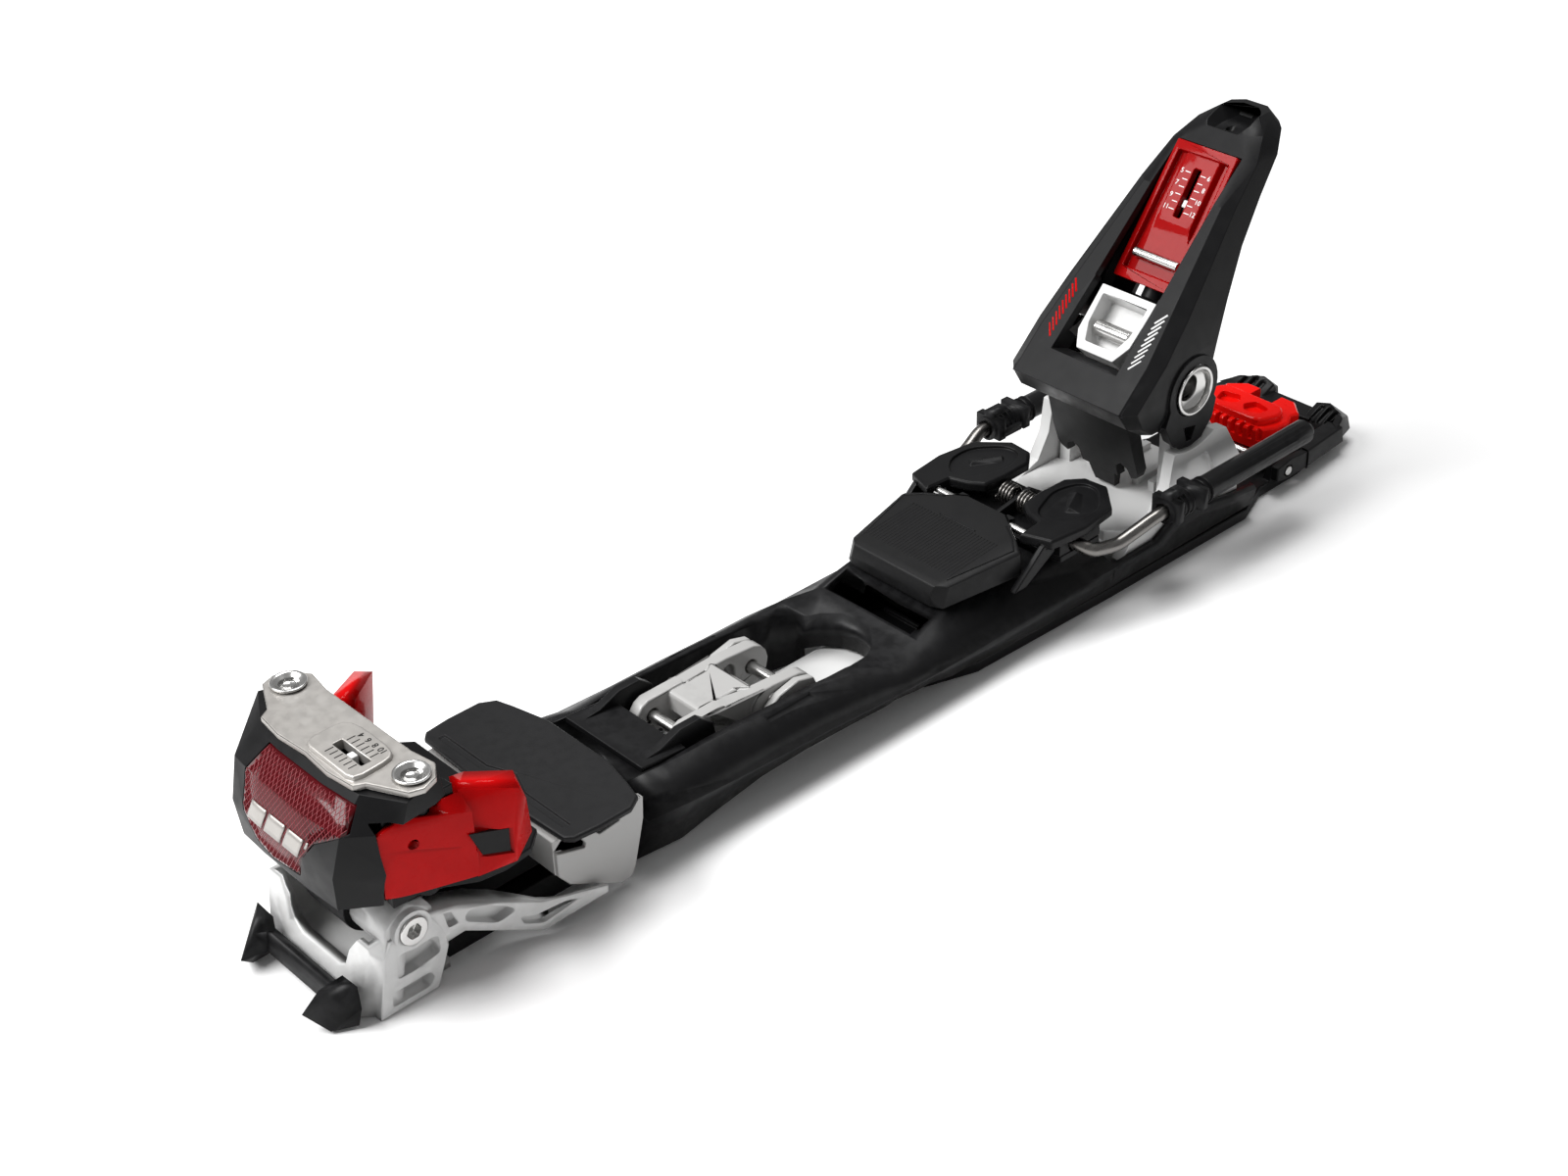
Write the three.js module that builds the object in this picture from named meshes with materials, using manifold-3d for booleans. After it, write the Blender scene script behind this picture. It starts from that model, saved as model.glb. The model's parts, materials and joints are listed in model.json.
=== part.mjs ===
// A frame-type touring ski binding: a toe piece and a heel piece on one long frame, which turns on an axle
// at the toe and is drawn back along a hub by a lever under the boot's arch.
//
// Millimetres, +Z up. +X runs from the boot's toe to its heel and y = 0 is the ski's centre line.
// While the pieces are made, x = 0 is the front axle and z = 0 is the ski's top. The last lines move the
// finished group so that its origin is the middle of its footprint.

import * as THREE from "three";
import { mergeVertices } from "three/addons/utils/BufferGeometryUtils.js";
import { ConvexGeometry } from "three/addons/geometries/ConvexGeometry.js";
import Module from "manifold-3d";

const wasm = await Module();
wasm.setup();

// ---------------------------------------------------------------- driving dimensions

const GAP = 0.35; // clearance left between neighbouring pieces
const AXLE_Z = 28; // height of the front pivot axle
const PIN_R = 5; // steel pivot pins
const BARREL_R = 9.2; // the bosses that hold them
const HUB_R = 11.2; // moulded hub on the axle, between the bosses
const HUB_HALF = 10.6;
const SOLE_Z = 36; // height of the boot's sole
const SILL_Z = SOLE_Z + 1.6; // underside of the toe housing, just over the bosses
const TOE_TOP_Z = 81.5; // underside of the toe's top plate
const RIVET_X = 6.5; // wing pivots
const RIVET_Y = 32.2;
const FRAME_X = 88.5; // front of the long frame
const FRAME_END_X = 402;
const BASE_TOP_Z = 5; // top of the rear base plate on the ski
const LEVER_X = 127.5; // front pin of the mode lever
const LEVER_Z = 22;
const LINK_X = 174; // rear pin, where the lever meets its link
const LINK_Z = 18.5;
const BRAKE_X = 297; // brake arm pivot
const BRAKE_Z = 33.6;
const WIRE_R = 2.7;
const ARM_Y = 45; // brake arms, out from the centre line
const HEEL_X = 363.7; // heel axle
const HEEL_Z = 70.4;
const TAIL_X = 480; // end of the climbing aid
const TIP_X = -34; // front of the claws

// ---------------------------------------------------------------- shape helpers

// A manifold solid from a closed three.js geometry.
function solid(geometry) {
  const bare = geometry.index ? geometry.toNonIndexed() : geometry.clone();
  bare.deleteAttribute("normal");
  bare.deleteAttribute("uv");
  const merged = mergeVertices(bare, 1e-4);
  return new wasm.Manifold(
    new wasm.Mesh({
      numProp: 3,
      vertProperties: merged.attributes.position.array,
      triVerts: new Uint32Array(merged.index.array),
    }),
  );
}

// The three.js geometry of a manifold solid.
function geometryOf(body) {
  const mesh = body.getMesh();
  const geometry = new THREE.BufferGeometry();
  geometry.setAttribute("position", new THREE.BufferAttribute(new Float32Array(mesh.vertProperties), 3));
  geometry.setIndex(Array.from(mesh.triVerts));
  const flat = geometry.toNonIndexed();
  flat.computeVertexNormals();
  return flat;
}

const join = (first, ...rest) => rest.reduce((sum, next) => sum.add(next), first);
const cut = (first, ...rest) => rest.reduce((left, next) => left.subtract(next), first);

// An outline pushed along one axis. Its points are (y, z) for axis x, (x, z) for axis y, (x, y) for axis z.
const PRISM_BASIS = {
  x: [[0, 1, 0], [0, 0, 1], [1, 0, 0]],
  y: [[1, 0, 0], [0, 0, 1], [0, -1, 0]],
  z: [[1, 0, 0], [0, 1, 0], [0, 0, 1]],
};
function prism(axis, outline, low, high, chamfer = 0) {
  const shape = new THREE.Shape(outline.map(([u, v]) => new THREE.Vector2(u, v)));
  const geometry = new THREE.ExtrudeGeometry(shape, {
    depth: high - low - 2 * chamfer,
    bevelEnabled: chamfer > 0,
    bevelThickness: chamfer,
    bevelSize: chamfer,
    bevelOffset: -chamfer,
    bevelSegments: 1,
  });
  geometry.translate(0, 0, chamfer);
  const basis = PRISM_BASIS[axis].map((column) => new THREE.Vector3(...column));
  geometry.applyMatrix4(new THREE.Matrix4().makeBasis(...basis));
  const start = new THREE.Vector3(axis === "x" ? low : 0, axis === "y" ? high : 0, axis === "z" ? low : 0);
  geometry.translate(start.x, start.y, start.z);
  return solid(geometry);
}

function box(x0, x1, y0, y1, z0, z1) {
  return prism("z", [[x0, y0], [x1, y0], [x1, y1], [x0, y1]], z0, z1);
}

// The same half outline on both sides of the centre line, as one ring. Points are (x, y) with y > 0.
function bothSides(half) {
  return [...half, ...half.map(([x, y]) => [x, -y]).reverse()];
}

// An outline with each corner cut round by a quadratic arc.
function rounded(points, radius, steps = 2) {
  const ring = [];
  points.forEach((point, i) => {
    const here = new THREE.Vector2(...point);
    const before = new THREE.Vector2(...points.at(i - 1));
    const after = new THREE.Vector2(...points[(i + 1) % points.length]);
    const start = here.clone().add(before.sub(here).setLength(Math.min(radius, before.length() * 0.45)));
    const end = here.clone().add(after.sub(here).setLength(Math.min(radius, after.length() * 0.45)));
    const arc = new THREE.QuadraticBezierCurve(start, here, end);
    arc.getPoints(steps).forEach((p) => ring.push([p.x, p.y]));
  });
  return ring;
}

function circle(u, v, radius, sides = 24) {
  return Array.from({ length: sides }, (_, i) => {
    const turn = (2 * Math.PI * i) / sides;
    return [u + radius * Math.cos(turn), v + radius * Math.sin(turn)];
  });
}

// A straight round bar between two points.
function rod(from, to, radius, sides = 16, endRadius = radius) {
  const a = new THREE.Vector3(...from);
  const b = new THREE.Vector3(...to);
  const geometry = new THREE.CylinderGeometry(endRadius, radius, a.distanceTo(b), sides);
  const along = b.clone().sub(a).normalize();
  const turn = new THREE.Quaternion().setFromUnitVectors(new THREE.Vector3(0, 1, 0), along);
  geometry.applyQuaternion(turn);
  const middle = a.add(b).multiplyScalar(0.5);
  return solid(geometry.translate(middle.x, middle.y, middle.z));
}

const across = (x, z, y0, y1, radius, sides = 20) => rod([x, y0, z], [x, y1, z], radius, sides);

// A round bar bent along a path.
function bentRod(points, radius, steps, sides = 8, tension = 0.35) {
  const path = new THREE.CatmullRomCurve3(
    points.map((p) => new THREE.Vector3(...p)),
    false,
    "catmullrom",
    tension,
  );
  return extrudeAlong(path, radius, steps, sides);
}

function extrudeAlong(path, radius, steps, sides) {
  const section = new THREE.Shape(circle(0, 0, radius, sides).map(([u, v]) => new THREE.Vector2(u, v)));
  return solid(new THREE.ExtrudeGeometry(section, { extrudePath: path, steps, bevelEnabled: false }));
}

// A coil spring: turns of wire about a straight axis.
class Helix extends THREE.Curve {
  constructor(from, to, radius, turns) {
    super();
    this.from = new THREE.Vector3(...from);
    this.along = new THREE.Vector3(...to).sub(this.from);
    this.side = new THREE.Vector3(0, 0, 1).cross(this.along);
    if (this.side.lengthSq() < 1e-6) this.side.set(1, 0, 0);
    this.side.setLength(radius);
    this.up = this.along.clone().cross(this.side).setLength(radius);
    this.turns = turns;
  }
  getPoint(t, target = new THREE.Vector3()) {
    const angle = 2 * Math.PI * this.turns * t;
    return target
      .copy(this.from)
      .addScaledVector(this.along, t)
      .addScaledVector(this.side, Math.cos(angle))
      .addScaledVector(this.up, Math.sin(angle));
  }
}
const spring = (from, to, radius, wire, turns) =>
  extrudeAlong(new Helix(from, to, radius, turns), wire, Math.round(turns * 8), 4);

const hull = (points) => solid(new ConvexGeometry(points.map((p) => new THREE.Vector3(...p))));

// A body through matching rings of points, capped at both ends.
function loft(rings) {
  const count = rings[0].length;
  const points = rings.flat().map((p) => new THREE.Vector3(...p));
  const flatRing = (ring) => {
    const [a, b, c] = [ring[0], ring[1], ring[Math.floor(count / 2) + 1]].map((p) => new THREE.Vector3(...p));
    const normal = b.clone().sub(a).cross(c.clone().sub(a)).normalize();
    const u = b.clone().sub(a).normalize();
    const v = normal.clone().cross(u);
    return ring.map((p) => {
      const q = new THREE.Vector3(...p).sub(a);
      return new THREE.Vector2(q.dot(u), q.dot(v));
    });
  };
  const faces = [];
  const cap = (ring, offset, flip) => {
    for (const [a, b, c] of THREE.ShapeUtils.triangulateShape(flatRing(ring), [])) {
      faces.push(flip ? [offset + a, offset + c, offset + b] : [offset + a, offset + b, offset + c]);
    }
  };
  cap(rings[0], 0, true);
  cap(rings.at(-1), (rings.length - 1) * count, false);
  for (let r = 0; r < rings.length - 1; r += 1) {
    for (let i = 0; i < count; i += 1) {
      const j = (i + 1) % count;
      const [a, b] = [r * count + i, r * count + j];
      faces.push([a, b, b + count], [a, b + count, a + count]);
    }
  }
  const geometry = new THREE.BufferGeometry().setFromPoints(points);
  geometry.setIndex(faces.flat());
  const body = solid(geometry);
  if (body.volume() > 0) return body;
  geometry.setIndex(faces.map(([a, b, c]) => [a, c, b]).flat());
  return solid(geometry);
}

// The same body on the other side of the centre line.
function mirrored(body) {
  const geometry = geometryOf(body).scale(1, -1, 1);
  const position = geometry.getAttribute("position");
  for (let i = 0; i < position.count; i += 3) {
    const second = new THREE.Vector3().fromBufferAttribute(position, i + 1);
    const third = new THREE.Vector3().fromBufferAttribute(position, i + 2);
    position.setXYZ(i + 1, ...third);
    position.setXYZ(i + 2, ...second);
  }
  return solid(geometry);
}
const pair = (body) => join(body, mirrored(body));

// Leans or splays a body: adds `amount` of one coordinate for each unit of another beyond `from`.
function sheared(body, changed, by, amount, from = 0) {
  const geometry = geometryOf(body);
  const position = geometry.getAttribute("position");
  const index = { x: 0, y: 1, z: 2 };
  for (let i = 0; i < position.count; i += 1) {
    const old = position.getComponent(i, index[changed]);
    const beyond = position.getComponent(i, index[by]) - from;
    position.setComponent(i, index[changed], old + amount * beyond);
  }
  return solid(geometry);
}

// ---------------------------------------------------------------- materials

const finish = (color, roughness, metalness = 0) =>
  new THREE.MeshStandardMaterial({ color, roughness, metalness, flatShading: true });
const MATERIALS = {
  black: () => finish(0x1c1c1e, 0.5),
  white: () => finish(0xe9e9e7, 0.35, 0.1),
  silver: () => finish(0xb5b1ac, 0.38, 0.7),
  red: () => finish(0xb50d12, 0.15),
  clearRed: () => finish(0x7d0a12, 0.1),
  steel: () => finish(0xc2c2c2, 0.25, 1),
  wire: () => finish(0x6d6a66, 0.3, 1),
  rubber: () => finish(0x202021, 0.8),
};

const binding = new THREE.Group();

// Adds one named sub-part to the binding.
function add(name, material, body) {
  const mesh = new THREE.Mesh(geometryOf(body), MATERIALS[material]());
  mesh.name = name;
  binding.add(mesh);
}

// Adds the left (+Y) body as NAME_left and its mirror image as NAME_right.
function addPair(name, material, body) {
  add(`${name}_left`, material, body);
  add(`${name}_right`, material, mirrored(body));
}

// ---------------------------------------------------------------- on the ski: toe base

const LEG_IN = 24;
const LEG_OUT = 30.5;
const WALL_X = -19; // front wall of the toe base at the ski's top
const WALL_LEAN = 0.2; // it leans back by this much for each unit of height

function toeLeg() {
  const outline = [[-15, 0], [-10.5, 22], [-8, 27], [8.4, 27], [12, 19.5], [12.5, 14], [10.5, 8.5], [7, 0]];
  const plate = prism("y", outline, LEG_IN, LEG_OUT, 0.6);
  const upperWindow = rounded([[-6, 21], [9, 20.5], [9.2, 13.5], [0, 12], [-7.5, 12.2]], 1.5);
  const lowerWindow = rounded([[-9.8, 8.2], [4.5, 8.2], [6, 5.5], [4, 2.8], [-10.5, 2.8]], 1.2);
  const pockets = [upperWindow, lowerWindow].map((w) => prism("y", w, LEG_IN + 2.2, LEG_OUT + 1));
  const barrel = across(0, AXLE_Z, HUB_HALF + GAP, LEG_OUT - 1.6, BARREL_R);
  const ring = across(0, AXLE_Z, LEG_OUT - 2, LEG_OUT + 0.8, 6.9);
  return join(cut(plate, ...pockets), barrel, ring);
}

// The splayed side arm behind the leg, with its lens and slot windows.
function trussArm() {
  const splay = 0.155;
  const start = 12;
  const side = [
    [4, 30.5], [16.5, 28], [31, 22], [44.6, 14.7], [68, 9.9], [67.8, 7.5], [44.5, 3.4], [31.5, 10.2],
    [18, 17], [11, 15.5], [6, 20],
  ];
  const lens = rounded([[18, 20.6], [19.5, 24.4], [26, 23.2], [33.5, 18.8], [36, 16.2], [29.2, 14.2]], 2);
  const slot = rounded([[36.6, 12.8], [42.3, 10.9], [53, 11.3], [57.6, 9.9], [44.6, 6.4], [37.8, 9.3]], 1);
  const spandrel = rounded([[11.5, 27.3], [14.6, 26.3], [16.4, 21], [12.8, 20.6]], 0.8);
  let arm = prism("y", side, LEG_OUT - 12, LEG_OUT);
  arm = cut(
    arm,
    prism("y", lens, LEG_OUT - 3.4, LEG_OUT + 1),
    prism("y", slot, LEG_OUT - 2.2, LEG_OUT + 1),
    prism("y", spandrel, LEG_OUT - 2.6, LEG_OUT + 1),
  );
  const plan = [[2, 22], [24, 22.5], [36, 27], [48, 34], [56, 35.8], [69, 37.4], [69, 45], [2, 45]];
  return sheared(arm, "y", "x", splay, start).intersect(prism("z", plan, 0, 40));
}

function toePivotBase() {
  const top = 26;
  const wall = [
    [-30, 0], [-30, 22], [-27, top], [-21, top], [-17.5, 21], [-15.5, 13.5], [-10, 10.5], [10, 10.5],
    [15.5, 13.5], [17.5, 21], [21, top], [27, top], [30, 22], [30, 0],
  ];
  const front = sheared(prism("x", wall, WALL_X, WALL_X + 12), "x", "z", WALL_LEAN);
  const bow = prism("z", bothSides([[WALL_X - 1, 23], [-11, LEG_OUT], [30, LEG_OUT]]), -1, 40);
  const hollow = box(WALL_X + 7.5, 30, -LEG_IN, LEG_IN, 4, 40);
  const floor = box(WALL_X + 4, 15, -LEG_IN - 1, LEG_IN + 1, 0, 4);
  const sides = pair(join(toeLeg(), trussArm()));
  const bore = across(0, AXLE_Z, -40, 40, PIN_R + 0.1, 20);
  const screwHoles = [-1, 1].map((s) => rod([6, s * 14, -1], [6, s * 14, 9], 3.4, 16));
  const shell = join(cut(front, hollow), floor).intersect(bow);
  return cut(join(shell, sides), bore, ...screwHoles);
}

function pivotPin() {
  const length = [5, LEG_OUT + 1.6];
  const pin = across(0, AXLE_Z, ...length, PIN_R, 20);
  const socket = prism("y", circle(0, AXLE_Z, 2.7, 6), LEG_OUT - 1.4, LEG_OUT + 3);
  return cut(pin, socket);
}

// Two pointed claws on a cross bar, ahead of the toe base.
function frontSpur() {
  const claw = hull([
    [TIP_X, 17, 6.5], [-29, 24, 1], [-29, 19, 1.4], [-21.5, 28.3, 1.5], [-20.4, 17, 3.5],
    [-20.2, 29.2, 8], [-19.6, 27.5, 15.5], [-19.4, 19, 14.5], [-27.5, 18, 13],
  ]);
  const bar = prism("y", [[-24.5, 4.5], [-20.5, 3.6], [-19.2, 9.4], [-23, 11]], -20, 20);
  return join(bar, pair(claw));
}

// The grooved rail on the ski that the toe end of the frame lies over.
function baseTrack() {
  const profile = [[-21.5, 0], [-20, 8], [-17, 8], [17, 8], [20, 8], [21.5, 0]];
  const rail = prism("x", profile.reverse(), 15.6, 87);
  const grooves = [-12, -4, 4, 12].map((y) => box(20, 90, y - 2.2, y + 2.2, 4.6, 12));
  return cut(rail, ...grooves);
}

// The light strip that ties the toe and heel bases together, seen through the frame's opening.
function centreStrip() {
  return prism("z", bothSides([[90, 12], [96, 15.5], [214, 15.5], [224, 10]]), 0, 4.8, 0.6);
}

// ---------------------------------------------------------------- on the ski: heel base

function rearBase() {
  const half = [
    [226, 17], [226, 25.5], [247, 32.5], [319, 34.8], [398, 35.6], [415, 29], [440, 28.9], [470, 24], [474, 8],
  ];
  const plate = prism("z", bothSides(half), 0, BASE_TOP_Z, 0.5);
  const rail = prism("z", [[422, 17], [422, 21.4], [441, 20.6], [441, 16.4]], 4, 9);
  const lug = prism("y", [[421, 4], [424, 13], [431, 14], [435, 4]], 25.2, 29);
  const post = prism("y", rounded([[449, 4], [450.5, 15.2], [456.5, 15.2], [459, 4]], 2), -5, 5);
  const pads = [246, 278].map((x) => box(x, x + 18, -15, 15, 4, BASE_TOP_Z + 1.6));
  const pinHoles = [across(427.5, 9.2, -40, 40, 2.1, 16), across(453.5, 11.4, -40, 40, 1.6, 16)];
  const screwHoles = [-1, 1].map((s) => rod([408, s * 12, -1], [408, s * 12, 9], 3.4, 16));
  const solidBase = join(plate, ...pads, post, pair(rail), pair(lug));
  return cut(solidBase, ...pinHoles, ...screwHoles);
}

function baseScrew(x, y, seat) {
  const head = rod([x, y, seat - 3], [x, y, seat], 3.1, 16);
  const cross = [box(x - 2, x + 2, y - 0.5, y + 0.5, seat - 1.4, seat + 1),
    box(x - 0.5, x + 0.5, y - 2, y + 2, seat - 1.4, seat + 1)];
  return cut(head, ...cross);
}

// ---------------------------------------------------------------- hub and toe frame

// The moulded hub on the pivot axle, with the tongue that the frame slides along.
function pivotHub() {
  const barrel = across(0, AXLE_Z, -HUB_HALF, HUB_HALF, HUB_R, 24);
  const tongue = box(6, 66, -8.5, 8.5, 20, AXLE_Z);
  const bore = across(0, AXLE_Z, -20, 20, PIN_R + 0.3, 20);
  const flatTop = box(-20, 20, -20, 20, SOLE_Z - 0.4, 60);
  return cut(join(barrel, tongue), bore, flatTop);
}

// The box section over the tongue, with the pedestal that carries the toe housing.
function toeFrame() {
  const block = box(12, 88, -19.5, 19.5, 14, 31.6);
  const pedestal = prism("z", bothSides([[12, 19], [40, 19], [44, 15]]), 31, SILL_Z - GAP);
  const channel = box(10, 70, -9.2, 9.2, 19.6, AXLE_Z + GAP);
  const underside = box(10, 90, -15, 15, 10, 17.2);
  return cut(join(block, pedestal), channel, underside);
}

// ---------------------------------------------------------------- antifriction device

function afdBracket() {
  const side = [
    [52.3, 29], [63.5, 25.5], [64, 27], [62, 30], [68, 29.3], [69.5, 27.6], [78, 28.5], [79, 31.5],
    [88, 32.5], [87.5, 24], [83, 7], [81, 3.5], [77, 3], [56.5, 14.5], [52.3, 20],
  ];
  const top = prism("z", bothSides([[52, 33.5], [87, 33.5]]), 31.9, 33.2);
  const flange = box(52, 55.5, 20, 33.5, 20, 32.4);
  const tab = box(81, 87, 32, 35, 30, 32.8);
  return join(top, pair(join(prism("y", side, 32, 35), flange, tab)));
}

function afdPlate() {
  const half = [
    [53.2, 15], [54.2, 36.6], [56.6, 39.2], [66, 40.2], [79, 40.2], [84.5, 37], [86.5, 30], [89.7, 15.5],
  ];
  const plate = prism("z", bothSides(half), 33.5, SOLE_Z, 0.6);
  const groove = [
    [57.5, -33], [60, -33], [60, -10], [64, 0], [60, 10], [60, 33], [57.5, 33], [57.5, 10], [61, 0],
    [57.5, -10],
  ];
  return cut(plate, prism("z", groove, SOLE_Z - 0.7, SOLE_Z + 1));
}

// ---------------------------------------------------------------- toe housing

const WING_FLOOR = 41;
const WING_CEILING = 74.4;
const WING_REACH = 12.8; // radius of the wing's root about its rivet
const SKIN_REACH = 15.9; // and of the red skin's front edge

// Bow-shaped in plan: each ring runs from the nose's centre to the rear corner.
function toeShell() {
  const rings = [
    [SILL_Z, [[-17, 8], [-8, 20.5], [3, 30], [14, 31]]],
    [45, [[-21.5, 12], [-20.8, 25.5], [-6, 36.2], [14, 36]]],
    [58, [[-22.5, 12], [-21.6, 27], [-7.5, 38], [14, 37]]],
    [72, [[-19.4, 12], [-17.8, 28], [-4, 39.3], [14, 37.5]]],
    [TOE_TOP_Z, [[-9.3, 12], [-8.2, 26], [-0.5, 39.3], [14.4, 34]]],
  ];
  return loft(rings.map(([z, half]) => bothSides(half).map(([x, y]) => [x, y, z])));
}

// Upright disc about a wing's rivet.
const aboutRivet = (low, high, radius, sides = 32) =>
  rod([RIVET_X, RIVET_Y, low], [RIVET_X, RIVET_Y, high], radius, sides);

// The space that the wings need in the housing.
function wingRooms() {
  const [low, high] = [WING_FLOOR - GAP, WING_CEILING + GAP];
  const skinRoom = aboutRivet(low, high, SKIN_REACH + 0.5).intersect(box(-30, 30, 25.6, 60, 0, 100));
  const behind = prism("z", [[4, 20], [30, 20], [30, 50], [4, 50]], low, high);
  return pair(join(aboutRivet(low, high, WING_REACH + 0.5), skinRoom, behind));
}

function toeHousing() {
  const sole = [[-17, 8], [-8, 20.5], [2, 29.5], [12, 32], [21.5, 37.5], [31, 39], [41, 38], [48, 32]];
  const plate = prism("z", bothSides(sole), SILL_Z, 40.6, 0.5);
  const overBosses = across(0, AXLE_Z, -29.3, 29.3, 14.4, 24);
  const cavity = box(-12, 8, -16, 16, 47, 76);
  const slit = box(-3, 1.5, -21, -4.5, 70, 90);
  const screwBore = across(-13, 51, 10, 30, 2.6, 16);
  const screwSeat = across(-13, 51, 21, 40, 4, 16);
  const rivetBores = pair(aboutRivet(30, 90, 2.6, 16));
  const shell = join(toeShell(), plate);
  return cut(shell, wingRooms(), overBosses, windowSeat(GAP), cavity, slit, screwBore, screwSeat, rivetBores);
}

// The space of the translucent window in the nose, `grown` by a clearance all round.
function windowSeat(grown = 0) {
  const outline = [
    [-29, 72.5], [-26.5, 79], [16.5, 79], [20.4, 71], [20.4, 60], [16, 49.5], [7, 46.6], [-8, 49], [-11, 57],
    [-17, 65],
  ];
  const [y0, z0] = [-3, 63];
  const wider = outline.map(([y, z]) => {
    const out = new THREE.Vector2(y - y0, z - z0);
    out.setLength(out.length() + grown * 1.4);
    return [y0 + out.x, z0 + out.y];
  });
  const back = grown * 1.2;
  const depth = [[-30, 40], [-14.5 + back, 40], [-9.5 + back, 72], [-4.6 + back, 80.8], [-30, 80.8]];
  return prism("x", wider, -30, 0).intersect(prism("y", depth, -40, 40));
}

const toeWindow = () => cut(toeShell().intersect(windowSeat()), wingRooms());

function toeTopPlate() {
  const half = [
    [-9.3, 0], [-10.3, 13], [-9, 24], [-5.4, 26], [0.8, 38.4], [5.5, 40], [11, 38], [15, 32], [13.4, 21.6],
    [13.2, 3],
  ];
  const plate = prism("z", bothSides(half), TOE_TOP_Z + GAP, 84, 0.3);
  const panel = rounded([[-8, 3], [-8.4, -24], [7, -23], [9, -18], [9, -3], [7, 3]], 4);
  const boss = prism("z", panel, 83, 85.6, 0.5);
  const slit = box(-2.5, 1, -20, -5, 80, 90);
  const rivetBores = pair(rod([RIVET_X, RIVET_Y, 80], [RIVET_X, RIVET_Y, 90], 2.6, 16));
  return cut(join(plate, boss), slit, rivetBores);
}

function toeRivet() {
  const shaft = rod([RIVET_X, RIVET_Y, 38.2], [RIVET_X, RIVET_Y, 85.5], 2.2, 16);
  const head = rod([RIVET_X, RIVET_Y, 84.3], [RIVET_X, RIVET_Y, 86.2], 6, 24, 5.4);
  const dish = rod([RIVET_X, RIVET_Y, 85.4], [RIVET_X, RIVET_Y, 87.2], 3.6, 24, 4.6);
  return cut(join(shaft, head), dish);
}

function toeSpring() {
  return spring([-1, -13.5, 62], [-1, 13.5, 62], 6, 1.1, 6);
}

function toeSettingScrew() {
  const shank = across(-13, 51, 18.8, 21.8, 2.2, 12);
  const head = across(-13, 51, 21.4, 24.6, 3.6, 16);
  const slot = box(-14, -12, 23.4, 26, 44, 60);
  return cut(join(shank, head), slot);
}

function toeIndicator() {
  return box(-2, 0.5, -14, -11, 71, 84.8);
}

// ---------------------------------------------------------------- toe wings

// Black root of the wing, turning on its rivet inside the housing.
function wingArm() {
  const root = rod([RIVET_X, RIVET_Y, WING_FLOOR], [RIVET_X, RIVET_Y, WING_CEILING], WING_REACH, 32);
  const inner = box(-10, 24, 10, 32.9, WING_FLOOR - 1, WING_CEILING + 1);
  const barrel = rod([RIVET_X, RIVET_Y, WING_FLOOR], [RIVET_X, RIVET_Y, WING_CEILING], 3.5, 20);
  const bore = rod([RIVET_X, RIVET_Y, 30], [RIVET_X, RIVET_Y, 90], 2.6, 16);
  const scoop = prism("z", [[14, 10], [24, 10], [24, 24.5], [14, 24.5]], WING_FLOOR - 1, WING_CEILING + 1);
  return cut(join(root.intersect(inner), barrel), bore, scoop);
}

const WINDOW = [[17.6, 59.6], [32.6, 55.4], [32.4, 45.6], [21.8, 48.8]];

// The red jaw: a skin outside the rivet and a block behind it that grips the boot's toe.
function wing() {
  const skin = hull([
    [-9.2, 33.3, 46.5], [-9, 34.3, 48], [-9.3, 33.3, 71], [-9, 34.2, 70], [-2, 35.6, 45.6], [7, 37.2, 44.2],
    [7, 37, 67], [-1, 33.3, 74], [-1, 35.4, 73.2], [21, 33.3, 42.4], [21, 39.6, 42.2], [21, 33.3, 70.6],
    [21, 38.8, 66], [9, 33.3, 70.6],
  ]);
  const block = hull([
    [20, 33.4, 43], [20, 39.6, 42.2], [33, 42, 42.2], [39.4, 42, 50], [38, 42.8, 64], [35.6, 42.8, 69],
    [38.6, 36.4, 70.6], [27, 27.6, 71.6], [20.6, 33, 71.6], [23, 25.4, 70.6], [24, 27, 60], [36, 37, 46],
  ]);
  const saddle = hull([
    [2, 44, 74], [2, 33.2, 76], [12, 44, 68.6], [12, 33.2, 71], [20, 46, 69.4], [20, 33.2, 73.2], [28, 46, 75],
    [28, 33.2, 77],
  ]);
  const crease = hull([
    [-12, 37, 68.6], [-12, 33.9, 65], [-12, 37, 61.4], [2, 39.6, 65.4], [2, 35.5, 60.6], [4, 39.6, 55.4],
    [16, 41, 58], [16, 38.3, 55.2], [16, 41, 52.6],
  ]);
  const eye = hull(circle(1.5, 63, 1.9, 10).flatMap(([x, z]) => [[x, 34.1, z], [x, 40, z]]));
  const pocket = prism("y", WINDOW, 39.2, 46);
  const barrelRoom = aboutRivet(30, 90, 3.85, 20);
  const rootRoom = aboutRivet(30, 90, WING_REACH + GAP);
  const rootSide = rootRoom.intersect(box(-20, 40, 0, 33.25, 0, 100));
  const ceiling = box(-30, 60, 0, 60, WING_CEILING, 90);
  return cut(join(skin, block), saddle, crease, eye, pocket, barrelRoom, rootSide, ceiling);
}

function wingInsert() {
  const shrunk = WINDOW.map(([x, z]) => [26 + (x - 26) * 0.93, 52.4 + (z - 52.4) * 0.9]);
  return prism("y", shrunk, 39.5, 41, 0.3);
}

// ---------------------------------------------------------------- long frame

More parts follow.
